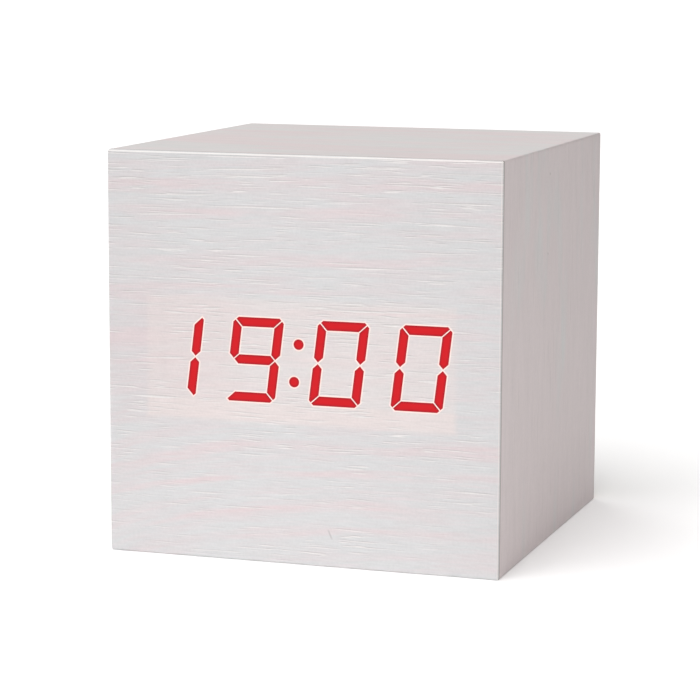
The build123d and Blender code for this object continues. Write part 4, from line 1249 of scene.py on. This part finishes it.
def cells():
    # cellLook's lengths in metres
    look = {name: value * mm for name, value in cellLook.items() if name != "steps"}
    low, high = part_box("battery_cells")
    sleeveLow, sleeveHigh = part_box("battery_sleeves")
    radius = (high.y - low.y) / 2
    outside = (sleeveHigh.y - sleeveLow.y) / 2
    pitch = (high.z - low.z - 2 * radius) / 2
    tip = high.x
    shoulder = tip - look["nubLength"]
    base = tip - look["length"]
    nub = look["nubRadius"]
    canProfile = [
        (0, base + look["baseDip"]),
        (radius - look["baseDipStart"], base + look["baseDip"]),
        (radius - look["baseRim"], base),
        (radius, base),
        (radius, shoulder),
        (radius - look["topRim"], shoulder),
        (radius - look["topDipStart"], shoulder - look["topDip"]),
        (nub + look["nubFoot"], shoulder - look["topDip"]),
        (nub, shoulder),
        (nub, tip),
        (0, tip),
    ]
    inside = radius + look["sleeveGap"]
    start = base + look["sleeveSetback"]
    end = shoulder - look["sleeveSetback"]
    sleeveProfile = [(inside, start), (outside, start), (outside, end), (inside, end), (inside, start)]
    cans = []
    sleeves = []
    for number, way in enumerate([1, -1, 1]):
        centre = (0, (low.y + high.y) / 2, low.z + radius + number * pitch)
        can = lathe(canProfile, centre, (way, 0, 0), cellLook["steps"])
        rounded(can, look["nubRound"], segments=3)
        cans.append(can)
        sleeves.append(lathe(sleeveProfile, centre, (way, 0, 0), cellLook["steps"]))
    piece("cellCans", joined(cans), "case", ["cell_metal"], ["battery_cells"])
    piece("cellSleeves", joined(sleeves), "case", ["cell_sleeve"], ["battery_sleeves"])


cells()
print("cells made")


# Camera, floor and light

cameraLook = {
    "place": (0.13035, -0.4019, 0.09332),
    "lens": 137.06,
    "sensor": 36.0,
    "azimuth": 18.28,
    "elevation": 8.74,
    "roll": 0.23,
    "nearest": 0.01,
    "farthest": 200.0,
}


def makeCamera():
    look = cameraLook
    azimuth = math.radians(look["azimuth"])
    elevation = math.radians(look["elevation"])
    back = Vector((
        math.sin(azimuth) * math.cos(elevation),
        -math.cos(azimuth) * math.cos(elevation),
        math.sin(elevation),
    ))
    right = Vector((math.cos(azimuth), math.sin(azimuth), 0))
    right = Matrix.Rotation(math.radians(look["roll"]), 3, back) @ right
    up = back.cross(right)
    data = bpy.data.cameras.new("photoCamera")
    data.lens = look["lens"]
    data.sensor_width = look["sensor"]
    data.clip_start = look["nearest"]
    data.clip_end = look["farthest"]
    camera = bpy.data.objects.new("photoCamera", data)
    turn = Matrix((right, up, back)).transposed().to_4x4()
    camera.matrix_world = Matrix.Translation(look["place"]) @ turn
    bpy.context.scene.collection.objects.link(camera)
    bpy.context.scene.camera = camera


makeCamera()

floorLook = {
    "half": 60.0,
    "colour": paint(252, 252, 252),
    "cloud": (0.004, 0.004, 0.0),
    "level": 0.985,
    "cloudShare": 0.02,
    "roughness": 0.9,
    "specular": 0.1,
    "glow": 0.14,
}


def makeFloor():
    look = floorLook
    bm = bmesh.new()
    bmesh.ops.create_grid(bm, x_segments=1, y_segments=1, size=look["half"])
    mesh = bpy.data.meshes.new("floor")
    bm.to_mesh(mesh)
    bm.free()
    ground = Finish("floorPaint")
    cloud = ground.stretched(look["cloud"])
    mesh.materials.append(ground.surface({
        "Base Color": ground.lit(look["colour"], look["level"] + cloud * look["cloudShare"]),
        "Roughness": look["roughness"],
        "Specular IOR Level": look["specular"],
        "Emission Color": white,
        "Emission Strength": look["glow"],
    }))
    floor = bpy.data.objects.new("floor", mesh)
    bpy.context.scene.collection.objects.link(floor)


makeFloor()

# suns, so that the floor is lit alike all the way out: direction towards each, power, disc in degrees
lights = {
    "key": {"from": (-0.12, -0.42, 0.62), "power": 1.95, "disc": 50.0},
    "overhead": {"from": (0.0, 0.1, 1.0), "power": 0.66, "disc": 60.0},
    "rearFill": {"from": (-0.2, 0.2, 0.2), "power": 0.5, "disc": 36.0},
}


def makeLights():
    for name, look in lights.items():
        data = bpy.data.lights.new(name, "SUN")
        data.energy = look["power"]
        data.angle = math.radians(look["disc"])
        light = bpy.data.objects.new(name, data)
        light.matrix_world = Vector(look["from"]).to_track_quat("Z", "Y").to_matrix().to_4x4()
        bpy.context.scene.collection.objects.link(light)


makeLights()

skyLook = {"ambient": 0.222, "tint": (1.0, 0.965, 0.95, 1.0)}


def makeSky():
    # the camera sees white, the object gets a softer light
    world = bpy.data.worlds.new("studio")
    bpy.context.scene.world = world
    world.use_nodes = True
    tree = world.node_tree
    tree.nodes.clear()
    seen = tree.nodes.new("ShaderNodeLightPath")
    ambient = tree.nodes.new("ShaderNodeBackground")
    ambient.inputs["Color"].default_value = skyLook["tint"]
    ambient.inputs["Strength"].default_value = skyLook["ambient"]
    backdrop = tree.nodes.new("ShaderNodeBackground")
    backdrop.inputs["Color"].default_value = white
    mix = tree.nodes.new("ShaderNodeMixShader")
    end = tree.nodes.new("ShaderNodeOutputWorld")
    tree.links.new(seen.outputs["Is Camera Ray"], mix.inputs[0])
    tree.links.new(ambient.outputs[0], mix.inputs[1])
    tree.links.new(backdrop.outputs[0], mix.inputs[2])
    tree.links.new(mix.outputs[0], end.inputs["Surface"])


makeSky()
viewSettings = bpy.context.scene.view_settings
viewSettings.view_transform = "Standard"
viewSettings.look = "None"
print("camera, floor and light made")
